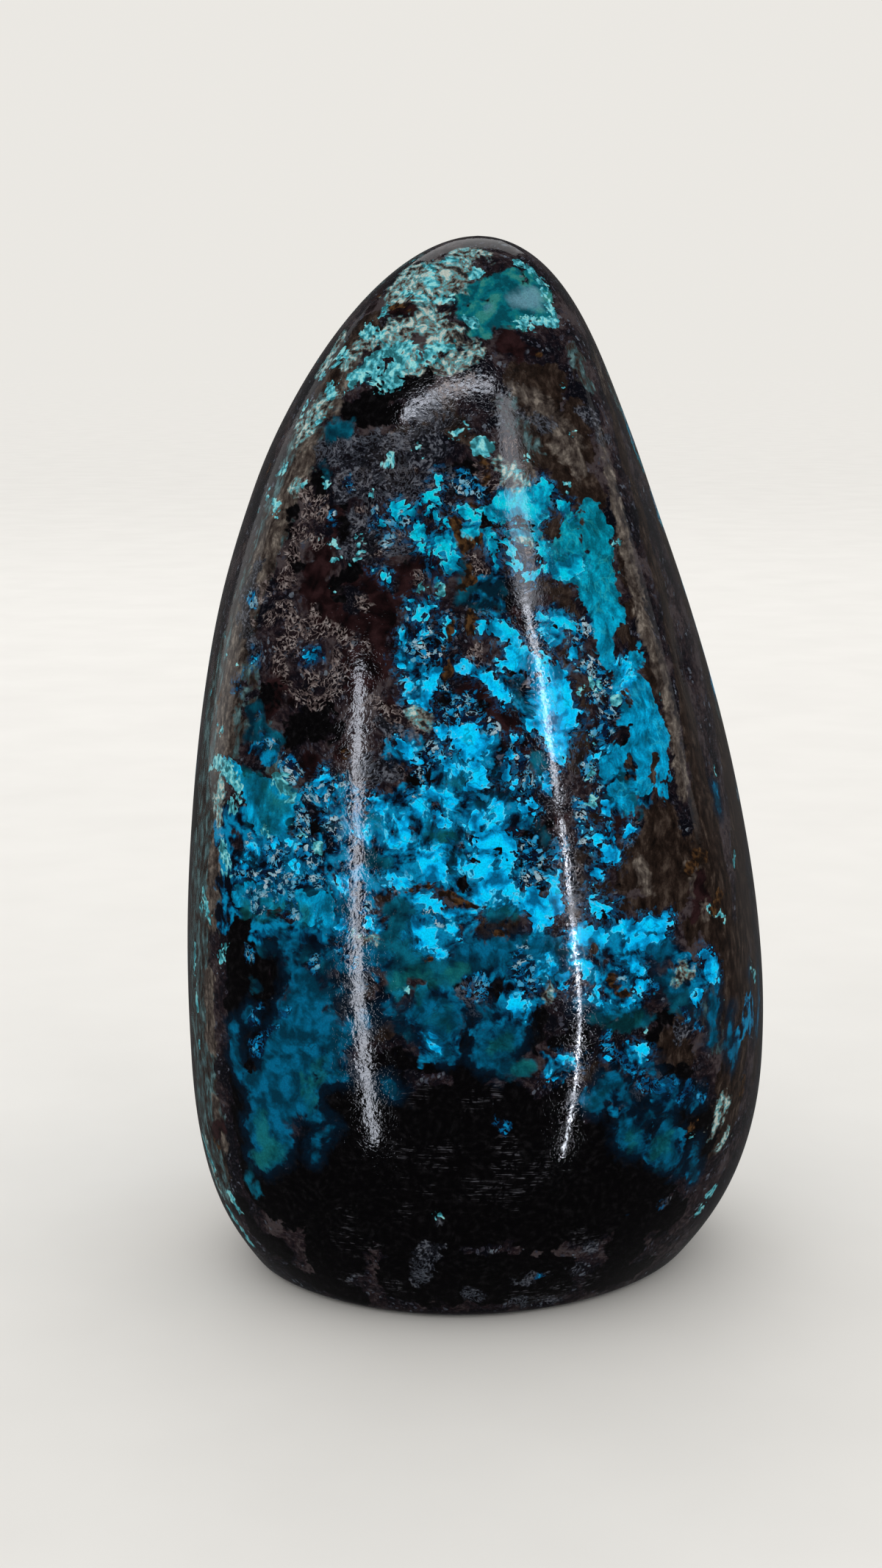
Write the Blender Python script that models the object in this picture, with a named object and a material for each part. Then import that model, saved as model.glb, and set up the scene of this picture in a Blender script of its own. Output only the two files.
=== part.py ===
"""Polished chrysocolla freeform: one stone, ground to softly bulging faces that run together in a
rounded tip, and cut flat below so that it stands by itself.

Metres, +Z up. The origin is on the flat base, under the middle of the stone's outline. The broad
front face looks along -Y, and +X is to the right of someone who looks at that face.
"""

import math

import bmesh
import bpy
import numpy as np

# Driving dimensions
HEIGHT = 0.080
DOME_START = 0.062  # the height from which the faces close in a dome to the tip
FOOT_ROUND = 0.0008  # radius of the worn edge round the flat base

# Half the stone's width at each height, before the dome closes it.
GIRTH = (
    (0.000, 0.0194),
    (0.003, 0.0214),
    (0.009, 0.0236),
    (0.018, 0.0245),
    (0.031, 0.0237),
    (0.045, 0.0213),
    (0.056, 0.0182),
    (0.067, 0.0143),
    (0.080, 0.0122),
)
# How far the middle of the stone leans from the upright at each height, as (height, to the right).
LEAN = ((0.000, 0.0003), (0.018, 0.0000), (0.045, -0.0016), (0.067, -0.0019), (0.080, -0.0001))

# The faces that the stone is ground to. For each: the bearing that it looks to, in degrees from the
# front towards the right-hand side; how full it is, from 0 for a flat face to 1 for one as round
# as the stone's own girth; and its distance from the middle as a share of the girth at the base, at
# the belly and at the shoulder.
FACES = (
    ("front", -2, 0.50, 0.83, 0.82, 0.80),
    ("front_right", 44, 0.30, 0.88, 1.04, 1.40),
    ("right", 76, 0.15, 0.98, 0.94, 0.925),
    ("back_right", 128, 0.30, 0.93, 0.94, 0.94),
    ("back", 178, 0.40, 0.86, 0.84, 0.84),
    ("back_left", -136, 0.30, 0.92, 0.93, 0.94),
    ("left", -80, 0.45, 0.97, 0.94, 0.92),
)
FACE_LEVELS = (0.000, 0.018, 0.056)  # the heights of the base, the belly and the shoulder
RIDGE_SHARPNESS = ((0.000, 5.0), (0.018, 10.0), (0.045, 18.0), (0.067, 14.0), (0.080, 8.0))

# Shallow hollows left where softer mineral wore away: the bearing, the height, the half width, the
# half height and the depth.
HOLLOWS = (
    (64.0, 0.0480, 0.0022, 0.0050, 0.0007),
    (57.0, 0.0405, 0.0018, 0.0042, 0.0005),
    (-118.0, 0.0300, 0.0040, 0.0060, 0.0006),
    (165.0, 0.0450, 0.0045, 0.0070, 0.0007),
)

# How finely the skin is drawn
STEPS_ROUND = 72
STEPS_FOOT = 4
STEPS_FLANK = 33
STEPS_DOME = 13

STONE_COLOUR = (0.030, 0.160, 0.200, 1.0)
STONE_ROUGHNESS = 0.12


def clear_scene():
    """Removes whatever the scene holds."""
    for thing in list(bpy.data.objects):
        bpy.data.objects.remove(thing)


def smooth_curve(points):
    """Returns a function that runs smoothly through the points, as a bent spline of wood would."""
    at = np.array([place for place, _ in points])
    value = np.array([amount for _, amount in points])
    gap = np.diff(at)
    slope = np.diff(value) / gap
    count = len(at)
    stiffness = np.eye(count)
    load = np.zeros(count)
    for i in range(1, count - 1):
        stiffness[i, i - 1 : i + 2] = gap[i - 1], 2 * (gap[i - 1] + gap[i]), gap[i]
        load[i] = 6 * (slope[i] - slope[i - 1])
    bend = np.linalg.solve(stiffness, load)

    def curve(place):
        i = min(max(int(np.searchsorted(at, place)) - 1, 0), count - 2)
        past, short = place - at[i], at[i + 1] - place
        return (
            (bend[i] * short**3 + bend[i + 1] * past**3) / (6 * gap[i])
            + (value[i] / gap[i] - bend[i] * gap[i] / 6) * short
            + (value[i + 1] / gap[i] - bend[i + 1] * gap[i] / 6) * past
        )

    return curve


girth_at = smooth_curve(GIRTH)
lean_at = smooth_curve(LEAN)
sharpness_at = smooth_curve(RIDGE_SHARPNESS)


def dome_share(height):
    """The share of the girth that is left at this height: all of it below the dome, none at the tip."""
    rise = max(0.0, (height - DOME_START) / (HEIGHT - DOME_START))
    return math.sqrt(max(0.0, 1 - rise * rise))


def foot_inset(height):
    """How far the worn edge round the base takes the skin in."""
    if height >= FOOT_ROUND:
        return 0.0
    return FOOT_ROUND - math.sqrt(FOOT_ROUND**2 - (FOOT_ROUND - height) ** 2)


def plan_reach(bearing, height):
    """How far the faces let the plan reach to this bearing, as a share of the girth.

    Each face alone would let it reach to the face's own line. Summing a high power of the faces'
    nearness rounds the ridges where two of them meet: the higher the power, the crisper the ridge.
    """
    power = sharpness_at(height)
    crowding = 0.0
    for _, looks_to, fullness, *distances in FACES:
        toward = math.cos(bearing - math.radians(looks_to))
        if toward > 0:
            nearness = toward ** (1 - fullness) / np.interp(height, FACE_LEVELS, distances)
            crowding += nearness**power
    return crowding ** (-1 / power)


def hollow_depth(bearing, height):
    """How deep the hollows are at a bearing and a height."""
    depth = 0.0
    for where, level, half_width, half_height, deepest in HOLLOWS:
        turn = math.remainder(bearing - math.radians(where), math.tau)
        aside = turn * girth_at(height) / half_width
        above = (height - level) / half_height
        depth += deepest * math.exp(-(aside * aside + above * above))
    return depth


def skin_point(bearing, height):
    """The skin's point at a bearing from the front towards the right-hand side, and a height."""
    radius = girth_at(height) * dome_share(height) * plan_reach(bearing, height)
    radius -= foot_inset(height) + hollow_depth(bearing, height)
    return lean_at(height) + radius * math.sin(bearing), -radius * math.cos(bearing), height


def ring_heights():
    """Heights of the rings of skin, close together round the foot and over the dome."""
    foot = [FOOT_ROUND * (1 - math.cos(math.pi / 2 * i / STEPS_FOOT)) for i in range(STEPS_FOOT)]
    step = (DOME_START - FOOT_ROUND) / STEPS_FLANK
    flank = [FOOT_ROUND + step * i for i in range(STEPS_FLANK)]
    over = [math.pi / 2 * i / STEPS_DOME for i in range(STEPS_DOME)]
    return foot + flank + [DOME_START + (HEIGHT - DOME_START) * math.sin(angle) for angle in over]


def centre_over_origin(skin):
    """Moves the skin sideways until the origin is under the middle of its outline."""
    places = np.array([vertex.co[:] for vertex in skin.verts])
    middle = (places.min(axis=0) + places.max(axis=0)) / 2
    bmesh.ops.translate(skin, verts=skin.verts, vec=(-middle[0], -middle[1], 0.0))


def stone_mesh():
    """The stone's closed skin: rings bridged from the flat base up, and closed at the tip."""
    skin = bmesh.new()
    bearings = [math.tau * i / STEPS_ROUND for i in range(STEPS_ROUND)]
    rings = []
    for height in ring_heights():
        rings.append([skin.verts.new(skin_point(bearing, height)) for bearing in bearings])
    skin.faces.new(reversed(rings[0]))
    for lower, upper in zip(rings, rings[1:]):
        for i in range(STEPS_ROUND):
            after = (i + 1) % STEPS_ROUND
            skin.faces.new((lower[i], lower[after], upper[after], upper[i]))
    tip = skin.verts.new((lean_at(HEIGHT), 0.0, HEIGHT))
    for i in range(STEPS_ROUND):
        skin.faces.new((rings[-1][i], rings[-1][(i + 1) % STEPS_ROUND], tip))
    bmesh.ops.recalc_face_normals(skin, faces=skin.faces)
    centre_over_origin(skin)
    mesh = bpy.data.meshes.new("chrysocolla_stone")
    skin.to_mesh(mesh)
    skin.free()
    return mesh


def polished_stone():
    """The stone's material: dark blue-green, with a glassy polish."""
    material = bpy.data.materials.new("polished_chrysocolla")
    material.use_nodes = True
    surface = material.node_tree.nodes["Principled BSDF"]
    surface.inputs["Base Color"].default_value = STONE_COLOUR
    surface.inputs["Roughness"].default_value = STONE_ROUGHNESS
    surface.inputs["Metallic"].default_value = 0.0
    material.diffuse_color = STONE_COLOUR
    return material


def build_stone():
    """Adds the stone to the scene, shaded smooth apart from the flat base's edge."""
    stone = bpy.data.objects.new("chrysocolla_stone", stone_mesh())
    bpy.context.scene.collection.objects.link(stone)
    stone.data.materials.append(polished_stone())
    stone.data.shade_smooth()


clear_scene()
build_stone()
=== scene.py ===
"""The looks of a polished chrysocolla freeform: one stone that shows its minerals in a glassy polish.

Metres, +Z up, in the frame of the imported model. The broad front face looks along -Y.
"""

import math
import random

import bpy
import numpy as np
from mathutils import Matrix, Vector, noise
from mathutils.bvhtree import BVHTree


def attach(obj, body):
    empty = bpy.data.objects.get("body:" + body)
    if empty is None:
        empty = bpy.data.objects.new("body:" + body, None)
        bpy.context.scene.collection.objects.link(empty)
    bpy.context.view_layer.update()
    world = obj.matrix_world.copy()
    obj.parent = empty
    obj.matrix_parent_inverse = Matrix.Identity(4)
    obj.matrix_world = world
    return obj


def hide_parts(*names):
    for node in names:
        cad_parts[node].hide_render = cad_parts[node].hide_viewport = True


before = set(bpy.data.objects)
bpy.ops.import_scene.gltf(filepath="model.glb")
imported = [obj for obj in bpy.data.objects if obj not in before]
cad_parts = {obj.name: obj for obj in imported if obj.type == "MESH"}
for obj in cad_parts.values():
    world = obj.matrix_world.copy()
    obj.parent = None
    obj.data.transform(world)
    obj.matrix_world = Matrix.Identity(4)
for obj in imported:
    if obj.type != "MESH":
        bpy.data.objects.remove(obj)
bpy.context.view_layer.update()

MM = 0.001  # a millimetre, in the scene's metres

# ---------------------------------------------------------------- the camera

FRAME_WIDTH = 1200  # pixels across and down the frame that the strokes below are written in
FRAME_HEIGHT = 2133
FOCAL_LENGTH = 3000  # in those pixels
SENSOR = 36.0  # mm, the longer side
NEAREST = 0.005  # the distance from which the camera sees
CAMERA_PITCH = 11.0  # degrees below the level
CAMERA_PLACE = (-0.00284, -0.17095, 0.07113)

# ---------------------------------------------------------------- the studio

ROOM_LIGHT = 1.10  # the matt light from all round
ROOM_TINT = (1.0, 0.995, 0.985)
MIRRORED_ROOM = (0.035, 0.05)  # how bright the polish mirrors the room, ahead of it and behind it
MIRRORED_FADE = (0.05, 0.95)  # where the one runs into the other
FLOOR_TONE = (225, 223, 219)
FLOOR_UNEVEN = 2  # steps darker and lighter
FLOOR_GRAIN = 0.02  # metres across a cloud of its grain
FLOOR_RADIUS = 6.0
FLOOR_CORNERS = 96
FLOOR_ROUGHNESS = 0.9

# Lamps: name, middle, width, length, radiance and, for a strip, the way that its length runs. The
# strips reach below the floor, which the polish doesn't mirror, so that their streaks run to the foot.
LAMP_AIM = (0.0, -0.018, 0.045)
STRIP_TINT = (0.84, 0.89, 1.0)
STRIPS = (
    ("left_strip", (-0.2412, -0.4608, -0.005), 0.020, 0.41, 11.0, (0, 0, 1)),
    ("right_strip", (0.198, -0.4833, -0.075), 0.004, 0.37, 46.0, (-0.07, 0, 1)),
    ("right_strip_middle", (0.179, -0.4833, 0.195), 0.012, 0.17, 17.0, (-0.07, 0, 1)),
    ("right_strip_top", (0.180, -0.4833, 0.395), 0.060, 0.22, 3.4, (0, 0, 1)),
    ("top_bar", (-0.05, -0.50, 0.575), 0.024, 0.40, 11.0, (1, 0, 0)),
)
PANELS = (
    ("right_panel", (0.5, 0.06, 0.20), 0.20, 0.28, 0.3),
    ("left_panel", (-0.42, 0.34, 0.16), 0.36, 0.40, 0.25),
    ("high_back_panel", (0.0, 0.50, 0.62), 0.50, 0.40, 0.8),
)

# ---------------------------------------------------------------- the stone's shape

TOUCHING = 1e-6  # metres: corners nearer than this are one
FACES_DOWN = -0.999  # the upright part of a normal that points straight down, or nearly
QUAD_ANGLE = 60  # degrees that two triangles may differ by and still make one quad
SKIN_LEVELS = 2  # subdivisions of the solid's own skin
BASE_RINGS = 4
OUTSIDE = 0.06  # metres from the upright, clear of the skin all round
WAVE_SIZE = 0.009  # how far apart the soft waves of the hand polish lie
WAVE_DEPTH = 0.00005
FOOT_CLEAR = 0.0005  # the height up to which the foot keeps its shape
FOOT_FADE = 0.004  # the height over which the waves then set in
# Small dents where the polish stopped short: (across, down, half width, half height, depth in mm)
DENTS = (
    (935, 915, 9, 22, 0.22),
    (945, 1050, 7, 24, 0.20),
    (974, 1046, 6, 12, 0.15),
    (841, 722, 4, 7, 0.12),
    (800, 1768, 26, 9, 0.30),
    (745, 1772, 22, 8, 0.25),
    (700, 1752, 9, 12, 0.18),
)

# ---------------------------------------------------------------- the minerals' tones and edges

# Noises: the place that each reads, its offset there, the size of its lumps, detail and roughness.
# Places are in mm: plain, stirred once or twice, or drawn out in one direction.
BIG_STIR = {"Size": 2.6, "Push": 1.4}
SMALL_STIR = {"Size": 0.8, "Push": 0.30}
UPRIGHT_STRETCH = (1.0, 1.0, 0.42)
LEVEL_STRETCH = (0.14, 0.14, 2.2)
SLANT = 62  # degrees that the steep saw marks lean
SLANT_STRETCH = (0.14, 0.5, 2.2)
NOISES = {
    "slow": ("stirred", (0, 0, 0), 3.4, 2.0, 0.50),
    "medium": ("curled", (5, 21, 3), 1.15, 2.0, 0.50),
    "quick": ("curled", (31, 7, 13), 0.42, 2.0, 0.50),
    "mottle": ("curled", (14, 3, 8), 0.24, 2.0, 0.60),
    "drawn": ("upright", (9, 2, 15), 0.60, 4.0, 0.65),
    "fine": ("plain", (3, 8, 1), 0.13, 2.0, 0.60),
    "veins": ("curled", (8, 4, 2), 0.90, 1.0, 0.55),
    "cracks": ("curled", (2, 44, 6), 0.95, 1.0, 0.55),
    "crack_gaps": ("stirred", (4, 9, 33), 1.10, 1.0, 0.55),
    "sprinkle": ("curled", (6, 28, 17), 1.60, 2.0, 0.55),
}
# Curling lines: the place and offset, and the size, width and gaps of the lines.
LINES = {
    "faint": ("stirred", (0, 0, 0), 0.36, 0.050, 0.52),
    "dense": ("stirred", (0, 0, 0), 0.34, 0.085, 0.34),
    "level_saw": ("level", (0, 0, 0), 0.50, 0.040, 0.54),
    "steep_saw": ("slanted", (4, 4, 4), 0.50, 0.040, 0.54),
}
# Crumbs: the place, their size, and the shares of the cells that hold one and that hold a ring.
CRUMBS = {"pale": ("curled", 0.40, 0.9, 0.45), "speck": ("stirred", 0.36, 0.4, 0.30)}

# A mineral's ragged edge: where in the noise it lies, how far its coarse and its fine noise push
# the edge in mm, and how soft it is. Then the sizes of both noises, for most of the minerals and
# for the others.
EDGES = {
    "brown_and_shade": (23, 2.6, 1.0, 0.3), "slate_and_reflection": (47, 2.6, 1.0, 0.4), "ash_and_reflection": (29, 1.4, 0.9, 0.4),
    "maroon": (37, 2.6, 0.9, 0.5), "black_and_shade": (41, 2.2, 0.9, 0.25), "stained": (11, 3.6, 1.2, 0.35),
    "crust": (53, 2.4, 0.8, 0.3), "lace": (59, 2.4, 1.0, 0.4), "glass": (67, 2.0, 0.6, 0.5),
    "lens": (113, 1.0, 0.7, 0.3), "pearl": (117, 1.2, 0.4, 0.9), "blue": (71, 1.5, 0.8, 0.5),
    "silky": (61, 1.8, 0.8, 0.12), "green": (79, 2.4, 0.8, 0.8), "turquoise": (0, 1.3, 1.3, 0.05),
    "salt": (83, 2.2, 0.8, 0.4), "beige": (89, 2.2, 1.2, 0.5), "mint": (97, 1.3, 1.3, 0.1),
    "islands": (101, 0.9, 0.6, 0.1), "inclusions": (103, 0.9, 0.6, 0.08),
    "rust": (107, 1.2, 0.8, 0.2), "scratch": (109, 2.6, 1.2, 0.8),
}
EDGE_SIZES = (1.30, 0.36)
OTHER_SIZES = {"brown_and_shade": (2.20, 0.36), "stained": (1.50, 0.45), "turquoise": (0.85, 0.38)}
EDGE_OFFSET = (1.0, 0.7, 1.3)  # each mineral's place in the noise lies along this line

# Tones: the noise that each follows, with a second one that swings it by so much, or None where it
# follows the tint of crumbs, and the colours along it, as a screen shows them.
TONES = {
    "ground": (("slow", "quick", 0.5), (
        (0.36, (8, 9, 18)), (0.46, (22, 17, 24)), (0.55, (42, 32, 36)), (0.66, (76, 68, 70)),
    )),
    "specks": (None, ((0.0, (44, 38, 44)), (0.6, (70, 74, 88)), (1.0, (112, 124, 136)))),
    # brown rock's tones, also used for the painted shade on the right face
    "brown_and_shade": (("drawn", None, 0.0), (
        (0.32, (17, 11, 9)), (0.46, (37, 27, 22)), (0.56, (54, 43, 37)), (0.70, (86, 75, 67)),
    )),
    # teal-grey tones of slate rock, also used for the painted reflection on the left flank
    "slate_and_reflection": (("drawn", "medium", 0.5), (
        (0.36, (32, 26, 23)), (0.45, (64, 57, 53)), (0.52, (60, 80, 82)), (0.60, (84, 116, 122)),
        (0.68, (110, 146, 148)),
    )),
    # grey-brown tones of ash rock, also used for the painted reflection along the ridge and down the
    # left flank
    "ash_and_reflection": (("drawn", "quick", 0.5), (
        (0.34, (48, 41, 38)), (0.47, (78, 70, 65)), (0.58, (104, 97, 90)), (0.70, (146, 138, 128)),
    )),
    "maroon": (("medium", None, 0.0), (
        (0.34, (10, 4, 6)), (0.48, (30, 14, 16)), (0.62, (50, 30, 32)),
    )),
    # black rock's tones, also used for the painted shade and dark reflection at the foot
    "black_and_shade": (("quick", None, 0.0), ((0.42, (2, 1, 3)), (0.58, (8, 7, 9)), (0.72, (22, 21, 24)))),
    "stained": (("medium", "quick", 0.35), (
        (0.405, (2, 8, 22)), (0.425, (1, 38, 66)), (0.465, (1, 58, 92)), (0.480, (0, 90, 134)),
        (0.525, (0, 104, 148)), (0.540, (0, 134, 186)), (0.61, (1, 158, 214)),
    )),
    "crust": (("quick", None, 0.0), (
        (0.38, (76, 66, 66)), (0.5, (118, 106, 104)), (0.64, (164, 156, 154)),
    )),
    "lace": (("mottle", "medium", 0.6), (
        (0.42, (6, 7, 14)), (0.50, (24, 26, 34)), (0.56, (52, 56, 68)), (0.66, (116, 122, 132)),
    )),
    "glass": (("slow", "medium", 0.8), (
        (0.34, (1, 28, 42)), (0.5, (2, 62, 80)), (0.66, (6, 96, 120)),
    )),
    "lens": (("medium", "drawn", 0.4), (
        (0.40, (2, 68, 80)), (0.47, (3, 92, 106)), (0.53, (10, 104, 110)), (0.60, (44, 120, 116)),
    )),
    "blue": (("medium", "quick", 0.3), (
        (0.38, (0, 48, 68)), (0.5, (0, 70, 98)), (0.62, (1, 94, 132)),
    )),
    "silky": (("drawn", "medium", 0.35), (
        (0.34, (0, 80, 108)), (0.44, (0, 108, 146)), (0.54, (0, 136, 182)), (0.66, (2, 172, 224)),
    )),
    "green": (("slow", "quick", 0.4), (
        (0.34, (2, 44, 48)), (0.5, (6, 74, 78)), (0.66, (20, 104, 104)),
    )),
    "stain_about": (("medium", "quick", 0.35), (
        (0.36, (3, 60, 84)), (0.5, (1, 98, 134)), (0.62, (2, 132, 176)),
    )),
    "turquoise": (("medium", "quick", 0.25), (
        (0.36, (0, 94, 138)), (0.40, (0, 128, 182)), (0.47, (0, 154, 214)), (0.50, (0, 184, 246)),
        (0.62, (0, 204, 255)),
    )),
    "crumbs": (None, (
        (0.05, (4, 22, 48)), (0.30, (2, 88, 136)), (0.5, (12, 142, 196)), (0.70, (84, 152, 180)),
        (0.95, (160, 184, 196)),
    )),
    "beige": (("quick", "medium", 0.5), (
        (0.33, (30, 30, 30)), (0.40, (68, 66, 62)), (0.45, (108, 106, 100)), (0.49, (94, 124, 124)),
        (0.54, (76, 140, 148)), (0.58, (112, 166, 172)), (0.64, (176, 186, 178)),
    )),
    "mint": (("quick", "medium", 0.5), (
        (0.38, (36, 96, 104)), (0.46, (58, 138, 150)), (0.54, (82, 178, 194)), (0.63, (138, 206, 208)),
    )),
    "rust": (("quick", None, 0.0), ((0.40, (22, 14, 9)), (0.50, (46, 30, 17)), (0.62, (76, 53, 30)))),
}

# The finer marks over them: how strongly each shows, and its colour on a screen.
MARKS = {
    "faint_lines": (0.30, (84, 82, 90)),
    "crust_bed": (0.50, (16, 8, 10)),
    "threads": (1.00, (86, 94, 106)),
    "pearl": (0.80, (96, 142, 158)),
    "halo": (0.75, (1, 26, 44)),
    "veins": (0.30, (44, 182, 208)),
    "seam": (0.85, (3, 6, 16)),
    "lip": (0.40, (120, 200, 224)),
    "cracks": (0.40, (4, 16, 28)),
    "crumb_bed": (0.75, (5, 8, 20)),
    "saw_marks": (0.80, (72, 72, 78)),
}

# Where a level sets in and where it is full, and what it then runs from and to, if not 0 and 1.
# The level is a noise's, except where a length in mm is named.
FADES = {
    "sprinkle": (0.46, 0.56),
    "threads": (0.40, 0.60, 0.1, 0.7),
    "halo": (-1.3, 0.0),  # depth in the blue
    "veins": (0.42, 0.56),
    "stain_about": (-0.45, -0.05),  # depth in the turquoise, and so in the next two
    "seam": (-0.34, -0.03),
    "lip": (0.05, 0.13),
    "soft_edges": (0.46, 0.56),
    "lip_gaps": (0.48, 0.56),
    "crack_gaps": (0.46, 0.54),
    "near_turquoise": (-0.8, -0.2),  # depth in the turquoise
    "greener_above": (45.0, 59.0),  # height
    "salt_paler": (0.0, 1.0, 0.55, 1.0),  # share of salt
    "paler_above": (18.0, 36.0, 0.5, 1.0),  # height
    "saw_marks": (0.38, 0.62),
    "grain": (0.3, 0.7, 0.84, 1.16),
    "polish": (0.40, 0.65, 0.02, 0.06),
    "etched": (-5.0, 7.0, 1.7, 0.6),  # across, to the right
}
VEIN_WIDTH = (0.0, 0.055)  # noise levels off a vein's middle up to which it is full, and shows
CRACK_WIDTH = (0.006, 0.030)
ROCK_DIMMED = (0.64, 0.62, 0.62, 1.0)  # what the tones under the blues are multiplied by
GREENER = (1.0, 0.90, 0.70, 1.0)  # what the blues near the top are multiplied by
LACE_STRENGTH = 0.85
GREEN_STRENGTH = 0.7
GREEN_OVER_STAINED = 0.6
GREEN_OVER_SILKY = 0.7
CRISP_EDGE = 0.03  # mm, half the width over which turquoise sets in
SOFT_EDGE = 0.18  # mm, what stained rock adds to that
STRAY_CRUMBS = 0.5  # how thickly crumbs lie along the turquoise, where no salt is drawn
CRUMB_SWING = 1.2  # how far the noise swings the crumbs' tint
CRUMB_LINES = 0.8  # how strongly the dense lines show among them
BROWN_ROUGHNESS = 0.05
CRUST_ROUGHNESS = 0.12
RELIEF_HEIGHT = 0.0000045  # metres, and the next three are shares of it
FINE_RELIEF = 0.03
LINE_RELIEF = 0.18
MOTTLE_RELIEF = 0.10

# ---------------------------------------------------------------- the sides away from the camera

HIDDEN_SEED = 7
HIDDEN_FROM = 87  # degrees from the front at which the camera stops seeing the skin
DEGREES_PER_MM = 2.8  # how far round the stone a millimetre takes
DAB_HEIGHTS = (0.5, 78)  # mm, the lowest and the highest middle of a dab
DAB_TURN = 1.2  # radians that a dab may turn by, from one round to the next
DAB_STEP = 1.3  # half widths between its rounds
DAB_TAPER = 0.55  # the least that a round keeps of the size before it
NEST_SPREAD = 0.6  # how far dabs stray to a nest's sides, as a share of its half width
LOOSE_MIX = (
    # mineral, how many, smallest and largest half width, lowest and highest place, in mm
    ("brown_and_shade", 104, 1.4, 4.2, 10, 80),
    ("slate_and_reflection", 60, 0.8, 3.0, 10, 80),
    ("ash_and_reflection", 40, 0.6, 2.2, 8, 80),
    ("maroon", 44, 0.6, 2.2, 4, 80),
    ("black_and_shade", 24, 0.8, 2.6, 12, 76),
    # a dark band low round the foot: dark rock and painted shade, darker towards the bottom
    ("black_and_shade", 60, 1.6, 4.0, 0, 11),
    ("crust", 26, 0.5, 1.6, 8, 76),
    ("lace", 44, 0.5, 1.8, 2, 78),
    ("beige", 18, 0.4, 1.1, 6, 78),
    ("salt", 34, 0.5, 1.5, 4, 76),
    ("mint", 36, 0.25, 0.6, 2, 78),
    ("turquoise", 34, 0.25, 0.7, 4, 76),
    ("rust", 14, 0.2, 0.5, 8, 76),
    ("scratch", 16, 1.5, 3.0, 0, 10),
)
NESTS = (
    # bearing, height in mm, slope in degrees, half length and half width in mm
    (104, 50, 70, 6.0, 1.8), (112, 17, 20, 5.0, 2.2), (134, 36, 60, 8.0, 3.0),
    (150, 60, 100, 6.0, 2.0), (158, 14, 10, 7.0, 2.6), (176, 43, 35, 9.0, 3.4),
    (196, 66, 110, 4.0, 1.8), (202, 22, 150, 8.0, 3.2), (222, 48, 80, 8.0, 2.8),
    (238, 14, 5, 5.0, 2.0), (246, 33, 115, 7.0, 2.6), (254, 60, 75, 6.0, 1.8),
    (266, 44, 95, 6.0, 1.3), (268, 21, 60, 5.0, 1.3), (150, 72, 30, 3.0, 1.6),
    (225, 71, 150, 3.5, 1.6),
)
NEST_MIX = (
    # mineral, how many, smallest and largest half width in mm, looseness
    ("black_and_shade", 4, 0.8, 2.4, 1.3),
    ("stained", 12, 0.7, 2.4, 0.8),
    ("glass", 3, 0.5, 1.4, 1.0),
    ("blue", 6, 0.5, 1.7, 0.9),
    ("silky", 6, 0.5, 1.6, 0.9),
    ("green", 2, 0.6, 1.4, 1.0),
    ("turquoise", 20, 0.25, 1.2, 1.0),
    ("salt", 7, 0.5, 1.3, 1.3),
    ("mint", 5, 0.25, 0.6, 1.3),
    ("beige", 1, 0.5, 1.0, 1.3),
    ("rust", 2, 0.2, 0.45, 1.2),
)

# ---------------------------------------------------------------- the side towards the camera

FAR_OUTSIDE = -6.0  # mm, the depth where no stroke is near

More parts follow.
